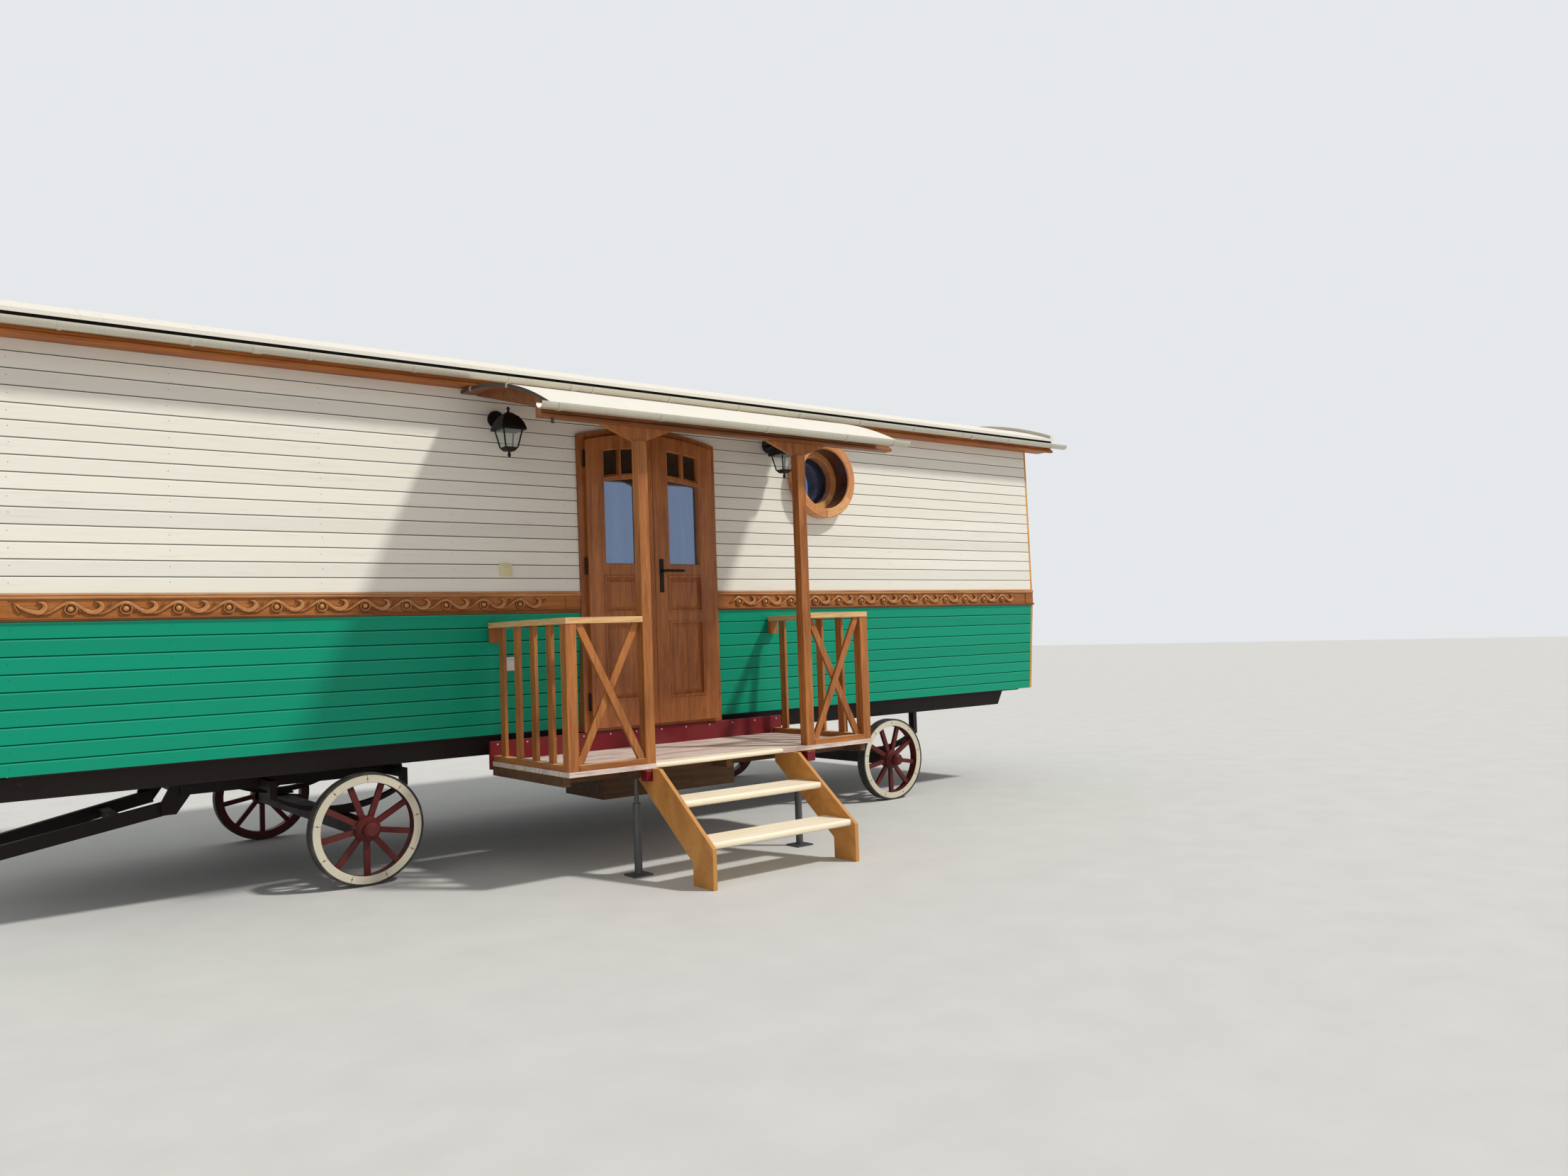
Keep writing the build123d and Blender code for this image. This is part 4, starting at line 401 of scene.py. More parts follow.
def porthole_wood():
    """The porthole's ring: a light face with one paler piece, and a dark varnished bore."""
    g = Graph("porthole_wood")
    across = g.minus(g.axis(0), PORTHOLE.x)
    rise = g.minus(g.axis(2), PORTHOLE.z)
    radius = g.math("SQRT", g.plus(g.times(across, across), g.times(rise, rise)))
    turn = g.math("ARCTAN2", rise, across)
    turned_grain = g.node("CombineXYZ", X=g.times(turn, 0.35), Y=g.axis(1), Z=g.times(radius, 24))
    fibres = g.noise(turned_grain.outputs[0], 6, 6, 0.62, 0.5)
    light = g.ramp(fibres, (0.34, srgb(0.7, 0.43, 0.22)), (0.5, srgb(0.8, 0.52, 0.29)),
                   (0.66, srgb(0.86, 0.6, 0.37)))
    bore = g.ramp(fibres, (0.34, srgb(0.2, 0.1, 0.06)), (0.66, srgb(0.36, 0.2, 0.12)))
    rings = g.noise(g.node("CombineXYZ", Z=g.times(g.axis(1), 60)).outputs[0], 3, 4, 0.6)
    bore = g.stain(bore, srgb(0.5, 0.3, 0.18), rings, 0.5, 0.7, 0.5)
    after_start = g.spread(turn, PALE_PIECE_START, PALE_PIECE_START + 0.01)
    before_end = g.spread(turn, PALE_PIECE_END - 0.01, PALE_PIECE_END, 0.75, 0)
    streaks = g.ramp(fibres, (0.36, srgb(0.72, 0.46, 0.24)), (0.52, srgb(0.93, 0.72, 0.47)))
    light = g.mix(g.times(after_start, before_end), light, streaks)
    deep = g.spread(g.axis(1), PORTHOLE_LOW.y + 0.01, PORTHOLE_LOW.y + 0.014)
    inside = g.spread(radius, FACE_RADIUS + 0.002, FACE_RADIUS + 0.004, 1, 0)
    wall = g.minus(1.0, g.spread(g.facing(1), 0.3, 0.6))
    past_ledge = g.spread(radius, LEDGE_RADIUS + 0.03, LEDGE_RADIUS + 0.034)
    colour = g.mix(g.times(g.times(deep, inside), g.times(wall, past_ledge)), light, bore)
    rough = g.spread(fibres, 0.3, 0.7, 0.22, 0.38)
    return g.surface(colour, rough, g.bump(fibres, 0.25, 0.0014), Coat_Weight=0.3, Coat_Roughness=0.12)


FOOT_RAIL_HEIGHT, HAND_RAIL_HEIGHT = 0.0355, 0.0365


def railing_wood(node, grain):
    """The railings' wood, its grain running along the hand rail and the foot rail of this node."""
    low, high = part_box(node)
    rail = (low.z + FOOT_RAIL_HEIGHT, high.z - HAND_RAIL_HEIGHT, grain)
    return wood(node + "_wood", HONEY_LIGHT, HONEY_DARK, "z", 0.4, coat=0.1, bleach=0.5, rail=rail)


# One material for each slot of the record, then those of single nodes

MATERIALS = {
    "roof_sheet": sheeting("roof_sheet", srgb(0.91, 0.895, 0.85)),
    "cream_boards": painted_boards("cream_boards", CREAM, FRIEZE_TOP, 1),
    "green_boards": painted_boards("green_boards", GREEN, FRIEZE_BOTTOM, -1),
    "carved_wood": wood("carved_wood", srgb(0.72, 0.46, 0.22), srgb(0.5, 0.27, 0.1), "x", 0.4),
    "stained_wood": wood("stained_wood", ORANGE_LIGHT, ORANGE_DARK, "z", 0.36, coat=0.15),
    "eaves_wood": wood("eaves_wood", srgb(0.74, 0.44, 0.2), srgb(0.5, 0.25, 0.09)),
    "honey_wood": wood("honey_wood", HONEY_LIGHT, HONEY_DARK, "z", 0.4, coat=0.1, bleach=0.8),
    "weathered_wood": weathered("weathered_wood", srgb(0.95, 0.88, 0.84), srgb(0.7, 0.61, 0.57)),
    "ply_wood": ply("ply_wood"),
    "cream_treads": wood("cream_treads", srgb(0.99, 0.95, 0.86), srgb(0.93, 0.875, 0.76), "x", 0.5,
                         depth=0.25, wear=0.12),
    "floor_wood": wood("floor_wood", srgb(0.72, 0.58, 0.4), srgb(0.52, 0.38, 0.24), "x", 0.5,
                       under=UNDERSIDE),
    "wall_lining": wood("wall_lining", srgb(0.88, 0.82, 0.7), srgb(0.76, 0.68, 0.54), "x", 0.5, depth=0.2),
    "maroon_boards": paint("maroon_boards", MAROON, 0.36, 0.12),
    "maroon_metal": paint("maroon_metal", MAROON, 0.34, 0.15, 0.4),
    "wheel_paint": paint("wheel_paint", srgb(0.33, 0.07, 0.07), 0.36, 0.12, 0.3),
    "tyre_rubber": rubber("tyre_rubber"),
    "black_iron": paint("black_iron", srgb(0.05, 0.05, 0.055), 0.36, 0.025),
    # painted reflection: the blue tint on the mirror-like glass stands in for sky seen in the panes
    "clear_glass": glass("clear_glass", srgb(0.45, 0.54, 0.73), 0.85, mirror=0.8),
    "gutter_metal": metal("gutter_metal", srgb(0.82, 0.8, 0.74), 0.36, 0.25),
    # dark grey steel: partly its own colour, partly painted shade on the props
    "galvanised_steel": metal("galvanised_steel", srgb(0.36, 0.36, 0.37), 0.42, 0.4),
    "chassis_steel": paint("chassis_steel", srgb(0.1, 0.055, 0.05), 0.46, 0.04, 0.3),
    "locker_wood": wood("locker_wood", srgb(0.46, 0.33, 0.22), srgb(0.3, 0.2, 0.13), "x", 0.55, wear=0.2),
}
# painted shade on the door panes above this level
PANE_SHADE_LEVEL = EAVES - 0.546
# painted reflection: the door panes' blue tint stands in for reflected sky
DOOR_GLASS = glass("door_glass", srgb(0.5, 0.57, 0.69), 0.8, mirror=0.75, shade_above=PANE_SHADE_LEVEL)
OFF_WHITE = paint("off_white_paint", srgb(0.83, 0.8, 0.72), 0.5, 0.3, 0.25, under=srgb(0.4, 0.2, 0.15))
BEAD_WOOD = wood("bead_wood", srgb(0.8, 0.53, 0.3), srgb(0.55, 0.32, 0.15), "z", 0.36, coat=0.15)
WHITE_PLASTIC = paint("white_plastic", srgb(0.86, 0.87, 0.85), 0.3, 0.08)
CURTAIN_CLOTH = cloth("curtain_cloth")
OWN_MATERIALS = {
    "corner_strips": wood("corner_wood", srgb(0.9, 0.66, 0.34), srgb(0.72, 0.46, 0.2), "z", 0.4),
    "lantern_glass": glass("lantern_panes", srgb(0.8, 0.84, 0.82), 0.16, 1.45),
    # painted shade: the canopy frame's wood is darker, as for the beam in the gutter's shade
    "canopy_frame": wood("canopy_frame_wood", srgb(0.62, 0.4, 0.25), srgb(0.42, 0.24, 0.13)),
    "front_railings": railing_wood("front_railings", "x"),
    "side_railings": railing_wood("side_railings", "y"),
    "door_glass_left": DOOR_GLASS,
    "door_glass_right": DOOR_GLASS,
    # painted shade: the deck frame is dark brown so its front edge reads as the shade under the deck
    "deck_frame": wood("deck_frame_wood", srgb(0.42, 0.3, 0.2), srgb(0.26, 0.17, 0.11), "x", 0.55),
    "porthole_ring": porthole_wood(),
}
for node_name, node in NODES.items():
    node.data.materials.clear()
    node.data.materials.append(OWN_MATERIALS.get(node_name) or MATERIALS[SLOT_OF[node_name]])


# Builder of the added pieces

UP = Vector((0, 0, 1))


def added(name, data):
    """A new object in the scene."""
    made = bpy.data.objects.new(name, data)
    bpy.context.scene.collection.objects.link(made)
    return made


def full_turn(count):
    """The angles of a full turn in equal steps."""
    return [2 * math.pi * k / count for k in range(count)]


def upright_arm(angle):
    """A unit arm in the plane of the long walls, at an angle from +X."""
    return Vector((math.cos(angle), 0, math.sin(angle)))


def soft_edges(node, width, degrees):
    """A small bevel on an object's edges that are sharper than an angle."""
    bevel = node.modifiers.new("soft_edges", "BEVEL")
    bevel.width = width
    bevel.segments = 2
    bevel.limit_method = "ANGLE"
    bevel.angle_limit = math.radians(degrees)


class Mesh:
    """Collects the faces of one added piece, in the frame's metres."""

    def __init__(self):
        self.points = []
        self.faces = []
        self.rounded = []

    def add(self, points, faces, rounded=False):
        base = len(self.points)
        self.points.extend(Vector(point) for point in points)
        self.faces.extend(tuple(base + i for i in face) for face in faces)
        self.rounded.extend([rounded] * len(faces))

    def rows(self, rows, closed=True, caps=True, rounded=True):
        """Skins a list of rows of points; a closed row joins its last point to its first."""
        size = len(rows[0])
        faces = []
        for r in range(len(rows) - 1):
            for i in range(size if closed else size - 1):
                j = (i + 1) % size
                faces.append((r * size + i, r * size + j, (r + 1) * size + j, (r + 1) * size + i))
        self.add([point for row in rows for point in row], faces, rounded)
        if caps:
            self.add(rows[0], [tuple(range(size))])
            self.add(rows[-1], [tuple(range(size))])

    def box(self, low, high):
        (x0, y0, z0), (x1, y1, z1) = low, high
        self.rows([[(x0, y0, z), (x1, y0, z), (x1, y1, z), (x0, y1, z)] for z in (z0, z1)], rounded=False)

    def bar(self, start, end, radius):
        """A level round bar."""
        start, end = Vector(start), Vector(end)
        across = (end - start).cross(UP).normalized()
        rise = across.cross(end - start).normalized()
        ring = [radius * (math.cos(t) * across + math.sin(t) * rise) for t in full_turn(8)]
        self.rows([[point + arm for arm in ring] for point in (start, end)])

    def arched_bar(self, x0, x1, line, low, high):
        """A flat bar that follows a line of (y, z), from low to high beside it."""
        self.rows([[(x0, y, z + high), (x1, y, z + high), (x1, y, z + low), (x0, y, z + low)]
                   for y, z in line], rounded=False)

    def lathe(self, profile, centre, sides, axis=(0, 1, 0), rounded=True, caps=True):
        """A profile of (distance along the axis, radius) turned about an axis across the wagon."""
        axis, across, centre = Vector(axis), Vector((1, 0, 0)), Vector(centre)
        third = axis.cross(across)
        rows = []
        for along, radius in profile:
            rows.append([centre + axis * along + radius * (math.cos(t) * across + math.sin(t) * third)
                         for t in full_turn(sides)])
        self.rows(rows, caps=caps, rounded=rounded)

    def done(self, name, slot, body="body", material=None, soft=0.0):
        """Makes the Blender object, with its material, and lets it ride a body."""
        data = bpy.data.meshes.new(name)
        data.from_pydata(self.points, [], self.faces)
        shape = bmesh.new()
        shape.from_mesh(data)
        bmesh.ops.remove_doubles(shape, verts=shape.verts, dist=1e-6)
        bmesh.ops.recalc_face_normals(shape, faces=shape.faces)
        shape.to_mesh(data)
        shape.free()
        if len(data.polygons) == len(self.rounded):
            data.polygons.foreach_set("use_smooth", self.rounded)
        data.materials.append(material or MATERIALS[slot])
        made = added(name, data)
        if soft:
            soft_edges(made, soft, 30)
        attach(made, body)
        return made


class Face:
    """An upright panel of a wall: u runs along it from its start, v up from the ground, d out of it."""

    def __init__(self, start, along, out):
        self.start, self.along, self.out = Vector(start), Vector(along), Vector(out)

    def at(self, u, v, d):
        return self.start + self.along * u + UP * v + self.out * d


def curve(points, steps):
    """A smooth line through the points, each a tuple of numbers of one length."""
    line = []
    for i in range(len(points) - 1):
        near = [points[max(i - 1, 0)], points[i], points[i + 1], points[min(i + 2, len(points) - 1)]]
        for k in range(steps):
            t = k / steps
            weights = (
                (-t + 2 * t * t - t ** 3) / 2,
                (2 - 5 * t * t + 3 * t ** 3) / 2,
                (t + 4 * t * t - 3 * t ** 3) / 2,
                (t ** 3 - t * t) / 2,
            )
            line.append(tuple(sum(w * p[n] for w, p in zip(weights, near)) for n in range(len(points[0]))))
    line.append(tuple(points[-1]))
    return line


DOOR_FACE = Face((0, WALL_Y, 0), (1, 0, 0), (0, -1, 0))
FAR_FACE = Face((0, FAR_Y, 0), (-1, 0, 0), (0, 1, 0))
LEFT_FACE = Face((LEFT_END, 0, 0), (0, -1, 0), (-1, 0, 0))
RIGHT_FACE = Face((RIGHT_END, 0, 0), (0, 1, 0), (1, 0, 0))


# Frieze: mouldings and carved scroll; profiles are (out, up), ribbons (u, v, width, height)

FIELD_LOW, FIELD_HIGH = FRIEZE_BOTTOM + 0.019, FRIEZE_TOP - 0.033
TOP_MOULDING = ((0, 0), (0.009, 0), (0.011, -0.004), (0.011, -0.009), (0.007, -0.011), (0.007, -0.0135),
                (0.013, -0.016), (0.014, -0.021), (0.012, -0.026), (0.006, -0.029), (0, -0.029))
LOW_MOULDING = ((0, 0.019), (0.011, 0.019), (0.019, 0.016), (0.0205, 0.013), (0.019, 0.010), (0.012, 0.002),
                (0.010, 0.0005), (0, 0.0005))
SCROLL_STEP = 0.2545
RIBBON_RELIEF, RIBBON_BREADTH = 1.6, 1.2
RIDGES = ((-0.5, 0), (-0.42, 0.62), (-0.14, 1), (0.06, 0.7), (0.3, 0.86), (0.5, 0))
WAVE = [(-0.138, 0.016, 0.004, 0.004), (-0.112, 0.018, 0.011, 0.007), (-0.082, 0.030, 0.014, 0.009),
        (-0.050, 0.053, 0.016, 0.010), (-0.020, 0.072, 0.018, 0.011), (0.008, 0.076, 0.018, 0.012),
        (0.036, 0.064, 0.018, 0.011), (0.062, 0.043, 0.020, 0.010), (0.088, 0.028, 0.024, 0.010),
        (0.114, 0.026, 0.028, 0.011), (0.136, 0.036, 0.028, 0.012), (0.147, 0.053, 0.025, 0.012),
        (0.143, 0.070, 0.019, 0.012), (0.128, 0.079, 0.012, 0.011), (0.111, 0.080, 0.004, 0.008)]
SMALL_LEAVES = (
    [(0.036, 0.060, 0.003, 0.006), (0.044, 0.045, 0.009, 0.009), (0.049, 0.018, 0.002, 0.004)],
    [(0.046, 0.052, 0.003, 0.005), (0.057, 0.038, 0.008, 0.008), (0.067, 0.016, 0.002, 0.004)],
    [(0.172, 0.052, 0.003, 0.005), (0.180, 0.063, 0.007, 0.007), (0.183, 0.078, 0.002, 0.005)],
    [(0.184, 0.060, 0.002, 0.004), (0.191, 0.067, 0.006, 0.006), (0.194, 0.077, 0.002, 0.004)],
)
FIRST_LEAF = [(-0.006, 0.084, 0.003, 0.006), (0.016, 0.066, 0.012, 0.009), (0.044, 0.044, 0.017, 0.010)]
FIRST_DROP = [(0, 0.080, 0.003, 0.006), (0.012, 0.046, 0.009, 0.008), (0.030, 0.018, 0.002, 0.004)]
FIRST_LEAF_BEFORE_CREST = 0.245
RING_U, RING_V = 0.004, 0.043
BOSS = ((0, 0.0175), (0.006, 0.0172), (0.0115, 0.0145), (0.0155, 0.0095), (0.017, 0.004), (0.0172, 0.0008))
LEAD_ROOM, LAST_CREST_TO_END = 0.2, 0.16


def ribbon(mesh, face, line):
    """A carved ribbon with two ridges along a line."""
    rows = []
    for i, (u, v, width, height) in enumerate(line):
        ahead, behind = line[min(i + 1, len(line) - 1)], line[max(i - 1, 0)]
        du, dv = ahead[0] - behind[0], ahead[1] - behind[1]
        length = math.hypot(du, dv) or 1
        side_u, side_v = -dv / length, du / length
        wide, proud = width * RIBBON_BREADTH, height * RIBBON_RELIEF
        rows.append([face.at(u + side_u * s * wide, v + side_v * s * wide, t * proud) for s, t in RIDGES])
    mesh.rows(rows)


def moved(points, u):
    """Points of a ribbon moved along the wall and up to the carved field."""
    return [(point[0] + u, point[1] + FIELD_LOW, *point[2:]) for point in points]


def volute():
    """The ring that curls under each crest."""
    line = []
    last = 14
    for k in range(last + 1):
        share = k / last
        angle = math.radians(52 - 290 * share)
        radius = 0.031 - 0.006 * share
        width = 0.012 - 0.006 * share
        line.append((RING_U + radius * math.cos(angle), RING_V + radius * math.sin(angle), width, 0.010))
    return line


def boss(mesh, face, u, v):
    """The round ball in the middle of a ring."""
    mesh.rows([[face.at(u + radius * math.cos(t), v + radius * math.sin(t), out) for t in full_turn(14)]
               for out, radius in BOSS])


def scroll(mesh, face, start, end, first):
    """A run of scroll between two grooves, its first crest at the given place."""
    count = int((end - LAST_CREST_TO_END - first) / SCROLL_STEP) + 1
    for k in range(count):
        crest = first + k * SCROLL_STEP
        wave = WAVE
        if k == 0 and crest - start < LEAD_ROOM:
            wave = [(start - crest + 0.012, 0.034, 0.002, 0.004)] + WAVE[3:]
        ribbon(mesh, face, curve(moved(wave, crest), 3))
        ribbon(mesh, face, moved(volute(), crest))
        boss(mesh, face, crest + RING_U, FIELD_LOW + RING_V)
        for leaf in SMALL_LEAVES:
            ribbon(mesh, face, curve(moved(leaf, crest), 2))
    if first - start >= LEAD_ROOM:
        tip = first - FIRST_LEAF_BEFORE_CREST
        ribbon(mesh, face, curve(moved(FIRST_LEAF, tip) + moved(WAVE[9:], first - SCROLL_STEP), 3))
        ribbon(mesh, face, curve(moved(FIRST_DROP, tip), 2))


def moulding(mesh, face, start, end, profile, level):
    """A moulding along a wall, from one place to another."""
    mesh.rows([[face.at(u, level + v, d) for d, v in profile] for u in (start, end)], rounded=False)


CORNER_BLOCK, FIRST_CREST = 0.107, 0.375
LEFT_RUN_FIRST_CREST, RIGHT_RUN_FIRST_CREST = -3.2155, 1.143


def whole_run(face, start, end):
    """The run of a whole wall, with a plain block of one size at each corner."""
    return face, start, end, start + CORNER_BLOCK, end - CORNER_BLOCK, start + FIRST_CREST


# Each run: its face, its start and end, the start and end of its scroll, and its first crest
FRIEZE_RUNS = (
    (DOOR_FACE, LEFT_END, FRAME_LOW.x - 0.001, LEFT_END + CORNER_BLOCK, FRAME_LOW.x - 0.115,
     LEFT_RUN_FIRST_CREST),
    (DOOR_FACE, FRAME_HIGH.x + 0.001, RIGHT_END, FRAME_HIGH.x + 0.1, RIGHT_END - 0.11, RIGHT_RUN_FIRST_CREST),
    whole_run(FAR_FACE, -RIGHT_END, -LEFT_END),
    whole_run(LEFT_FACE, -FAR_Y, -WALL_Y),
    whole_run(RIGHT_FACE, WALL_Y, FAR_Y),
)


def frieze():
    """The mouldings, the scroll between them and the plain blocks at the ends of each run."""
    carving, top_moulding, low_moulding, end_blocks = Mesh(), Mesh(), Mesh(), Mesh()
    field_top = FIELD_HIGH + 0.004
    for face, start, end, field_start, field_end, first in FRIEZE_RUNS:
        scroll(carving, face, field_start, field_end, first)
        moulding(top_moulding, face, start, end, TOP_MOULDING, FRIEZE_TOP)
        moulding(low_moulding, face, start, end, LOW_MOULDING, FRIEZE_BOTTOM)
        for low, high in ((start, field_start), (field_end, end)):
            corners = ((low, FIELD_LOW), (high, FIELD_LOW), (high, field_top), (low, field_top))
            end_blocks.rows([[face.at(u, v, d) for u, v in corners] for d in (0, 0.0055)], rounded=False)
    carving.done("frieze_carving", "carved_wood", material=carving_wood())
    # painted highlight: the top moulding is a paler copy of the wood, as if lit from above
    pale = wood("moulding_wood", srgb(0.82, 0.62, 0.42), srgb(0.62, 0.38, 0.2), "x", 0.38)
    top_moulding.done("frieze_top_moulding", "carved_wood", material=pale)
    # painted shade: the low moulding, which faces down, is a darker copy of the wood
    dark = wood("low_moulding_wood", srgb(0.6, 0.36, 0.17), srgb(0.36, 0.18, 0.08), "x", 0.4)
    low_moulding.done("frieze_low_moulding", "carved_wood", material=dark)
    end_blocks.done("frieze_end_blocks", "carved_wood", soft=0.002)


frieze()


# Wheels: the felloes' faces as (radius, out), the nave's bands as (out from the nave, radius)

FELLOES = 9
FELLOE_DEGREES = 360 / FELLOES
FIRST_JOINT_DEGREES = 10
JOINT_ANGLE = 0.0035
FELLOE_FACE = ((0.2805, 0), (0.2815, 0.0022), (0.284, 0.003), (0.3255, 0.003), (0.3275, 0.0015), (0.3275, 0))
BOLT_CIRCLE_RADIUS = 0.304
NAVE_BEHIND_RIM = 0.036
NAVE_BANDS = ((0.052, 0.0655), (-0.054, 0.0665))
BAND_WIDTH, BAND_DEPTH = 0.012, 0.006


def wheel_trim(node, out):
    """The pale felloe faces, the nave's bands and the tyre bolts of one wheel."""
    tyre_low, tyre_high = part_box(node.replace("wheel_", "tyre_"))
    middle = Vector(((tyre_low.x + tyre_high.x) / 2, 0, (tyre_low.z + tyre_high.z) / 2))
    rim_y = tyre_high.y - 0.004 if out > 0 else tyre_low.y + 0.004
    body = body_of(node)
    place = node.replace("wheel_", "")
    faces, metalwork = Mesh(), Mesh()
    for offset, radius in NAVE_BANDS:
        band_y = rim_y + out * (offset - NAVE_BEHIND_RIM)
        near, far = band_y - out * BAND_WIDTH / 2, band_y + out * BAND_WIDTH / 2
        profile = ((near, radius - BAND_DEPTH), (near, radius), (far, radius), (far, radius - BAND_DEPTH))
        metalwork.lathe(profile, middle, 32, rounded=False)
    for k in range(FELLOES):
        joint, next_joint = (math.radians(FELLOE_DEGREES * j + FIRST_JOINT_DEGREES) for j in (k, k + 1))
        first, last = joint + JOINT_ANGLE, next_joint - JOINT_ANGLE
        rows = []
        for i in range(11):
            arm = upright_arm(first + (last - first) * i / 10)
            rows.append([middle + arm * r + Vector((0, rim_y + out * d, 0)) for r, d in FELLOE_FACE])
        faces.rows(rows, rounded=False)
        bolt = middle + upright_arm(joint) * BOLT_CIRCLE_RADIUS + Vector((0, rim_y + out * 0.0025, 0))
        metalwork.lathe(((0, 0.0055), (out * 0.0012, 0.0045), (out * 0.0016, 0.001)), bolt, 8)
    faces.done("felloe_face_" + place, "cream_treads", body, OFF_WHITE)
    metalwork.done("nave_bands_" + place, "wheel_paint", body)


for node_name in NODES:
    if node_name.startswith("wheel_"):
        wheel_trim(node_name, -1 if node_name.endswith("door_side") else 1)


# Small things on the walls and the skirt board

NAIL_COLUMNS = (-3.48, -2.7405, -1.9305, -1.12, -0.31, 1.05, 1.862, 2.7695, 3.6795, 4.53)
LEAN_IN, TUCK_IN = 0.017, 0.059
CABLE_CLIP_LEVEL = 0.926


def wall_y(z):
    """The door-side wall's face at a level: it leans in above the frieze and tucks in below it."""
    if z > FRIEZE_TOP:
        return WALL_Y + LEAN_IN * (z - FRIEZE_TOP) / (WALL_TOP - FRIEZE_TOP)
    return WALL_Y + TUCK_IN * max(0, FRIEZE_BOTTOM - z) / (FRIEZE_BOTTOM - SILL)


def nails():
    """Small nail heads in columns, one in each board."""
    rng = random.Random(11)
    upper, lower = Mesh(), Mesh()
    upper_levels = [FRIEZE_TOP + BOARD_PITCH * (k + 0.62) for k in range(14)]
    lower_levels = [FRIEZE_BOTTOM - BOARD_PITCH * (k + 0.38) for k in range(9)]
    for mesh, levels in ((upper, upper_levels), (lower, lower_levels)):
        for column in NAIL_COLUMNS:
            for level in levels:
                x = column + rng.uniform(-0.006, 0.006)
                z = level + rng.uniform(-0.008, 0.008)
                if math.hypot(x - PORTHOLE.x, z - PORTHOLE.z) < PORTHOLE_RADIUS + 0.008:
                    continue
                mesh.lathe(((0.001, 0.0027), (-0.0006, 0.0024), (-0.001, 0.001)), (x, wall_y(z), z), 8)
    rust = paint("nail_rust", srgb(0.5, 0.46, 0.4), 0.6, 0.2)
    upper.done("nails_upper_boards", "cream_boards", material=rust)
    green = paint("nail_green", srgb(0.03, 0.36, 0.27), 0.5, 0.1)
    lower.done("nails_lower_boards", "green_boards", material=green)


def rounded_plate(mesh, centre, half, corner, depth):
    """A plate with round corners, facing -Y, with a small chamfer at its front."""
    steps = 5

    def outline(inset, y):
        points = []
        for quadrant, (sx, sz) in enumerate(((1, 1), (-1, 1), (-1, -1), (1, -1))):
            for k in range(steps + 1):
                t = math.pi / 2 * (quadrant + k / steps)
                x = sx * (half[0] - corner) + (corner - inset) * math.cos(t)
                z = sz * (half[1] - corner) + (corner - inset) * math.sin(t)
                points.append((centre[0] + x, y, centre[2] + z))
        return points

    back, front = centre[1], centre[1] - depth
    mesh.rows([outline(0, back), outline(0, front + 0.002), outline(0.002, front)], rounded=False)


def wall_fitting(name, slot, x, z, material, plates):
    """A fitting of plates, each (aside, up, in front of the wall, half sizes, corner, depth)."""
    y = wall_y(z) + 0.006
    mesh = Mesh()
    for aside, up, front, half, corner, depth in plates:
        rounded_plate(mesh, (x + aside, y - front, z + up), half, corner, depth)
    mesh.done(name, slot, material=material)


def switch_and_socket():
    """The light switch and the socket left of the doors, and the cable clip low on the right corner."""
    cream_plastic = paint("cream_plastic", srgb(0.86, 0.83, 0.66), 0.3, 0.08)
    wall_fitting("light_switch", "cream_boards", -0.7605, 1.92, cream_plastic, (
        (0, 0, 0, (0.042, 0.042), 0.006, 0.018),
        (0, 0, 0.018, (0.03, 0.03), 0.003, 0.003),
        (0.004, -0.003, 0.021, (0.019, 0.021), 0.002, 0.004),
    ))
    wall_fitting("outdoor_socket", "green_boards", -0.7405, 1.3, WHITE_PLASTIC, (
        (0, 0, 0, (0.038, 0.045), 0.008, 0.04),
        (0, -0.004, 0.04, (0.032, 0.034), 0.006, 0.006),
        (0, 0.02, 0.046, (0.02, 0.004), 0.002, 0.003),
    ))
    clip = Mesh()
    y = wall_y(CABLE_CLIP_LEVEL)
    clip.box((RIGHT_END - 0.012, y + 0.022, 0.912), (RIGHT_END - 0.0005, y + 0.05, 0.944))
    clip.done("corner_cable_clip", "green_boards", material=WHITE_PLASTIC, soft=0.003)


def skirt_screws():
    """A row of screws along the top of the skirt board."""
    low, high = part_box("skirt_board")
    screws = Mesh()
    count, margin, radius = 12, 0.05, 0.006
    profile = ((-0.002, radius), (0.0012, radius), (0.002, radius * 0.7), (0.0012, radius * 0.3))
    for k in range(count):
        x = low.x + margin + (high.x - low.x - 2 * margin) * k / (count - 1)
        screws.lathe(profile, (x, low.y, high.z - 0.022), 10, (0, -1, 0), False)
    pale = paint("zinc_screws", srgb(0.75, 0.74, 0.7), 0.35, 0.1, metallic=0.6)
    screws.done("skirt_screws", "galvanised_steel", material=pale)


nails()
switch_and_socket()
skirt_screws()


# Doors: beads and curtains

LEAF_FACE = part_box("door_leaf_right")[0].y
LEAF_BACK = -0.516
LIGHTS = {"left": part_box("door_glass_left"), "right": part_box("door_glass_right")}
PANELS = ((0.833, 1.066), (0.218, 0.736))
PANEL_EDGE = 0.009
BEAD_SECTION = ((-0.5, 0), (-0.42, 0.7), (-0.1, 1), (0.25, 0.85), (0.42, 0.35), (0.5, 0))
BEAD_WIDTH, BEAD_HEIGHT = 0.018, 0.006
ARCH_RISE = 0.08
ARCH_RADIUS = ((FRAME_HIGH.x - FRAME_LOW.x) ** 2 / 4 + ARCH_RISE ** 2) / (2 * ARCH_RISE)
LIGHT_TOP, PANE_TOP = WALL_TOP - 0.296, WALL_TOP - 0.512
BAR_HEIGHT, BAR_HALF_WIDTH = 0.03, 0.01


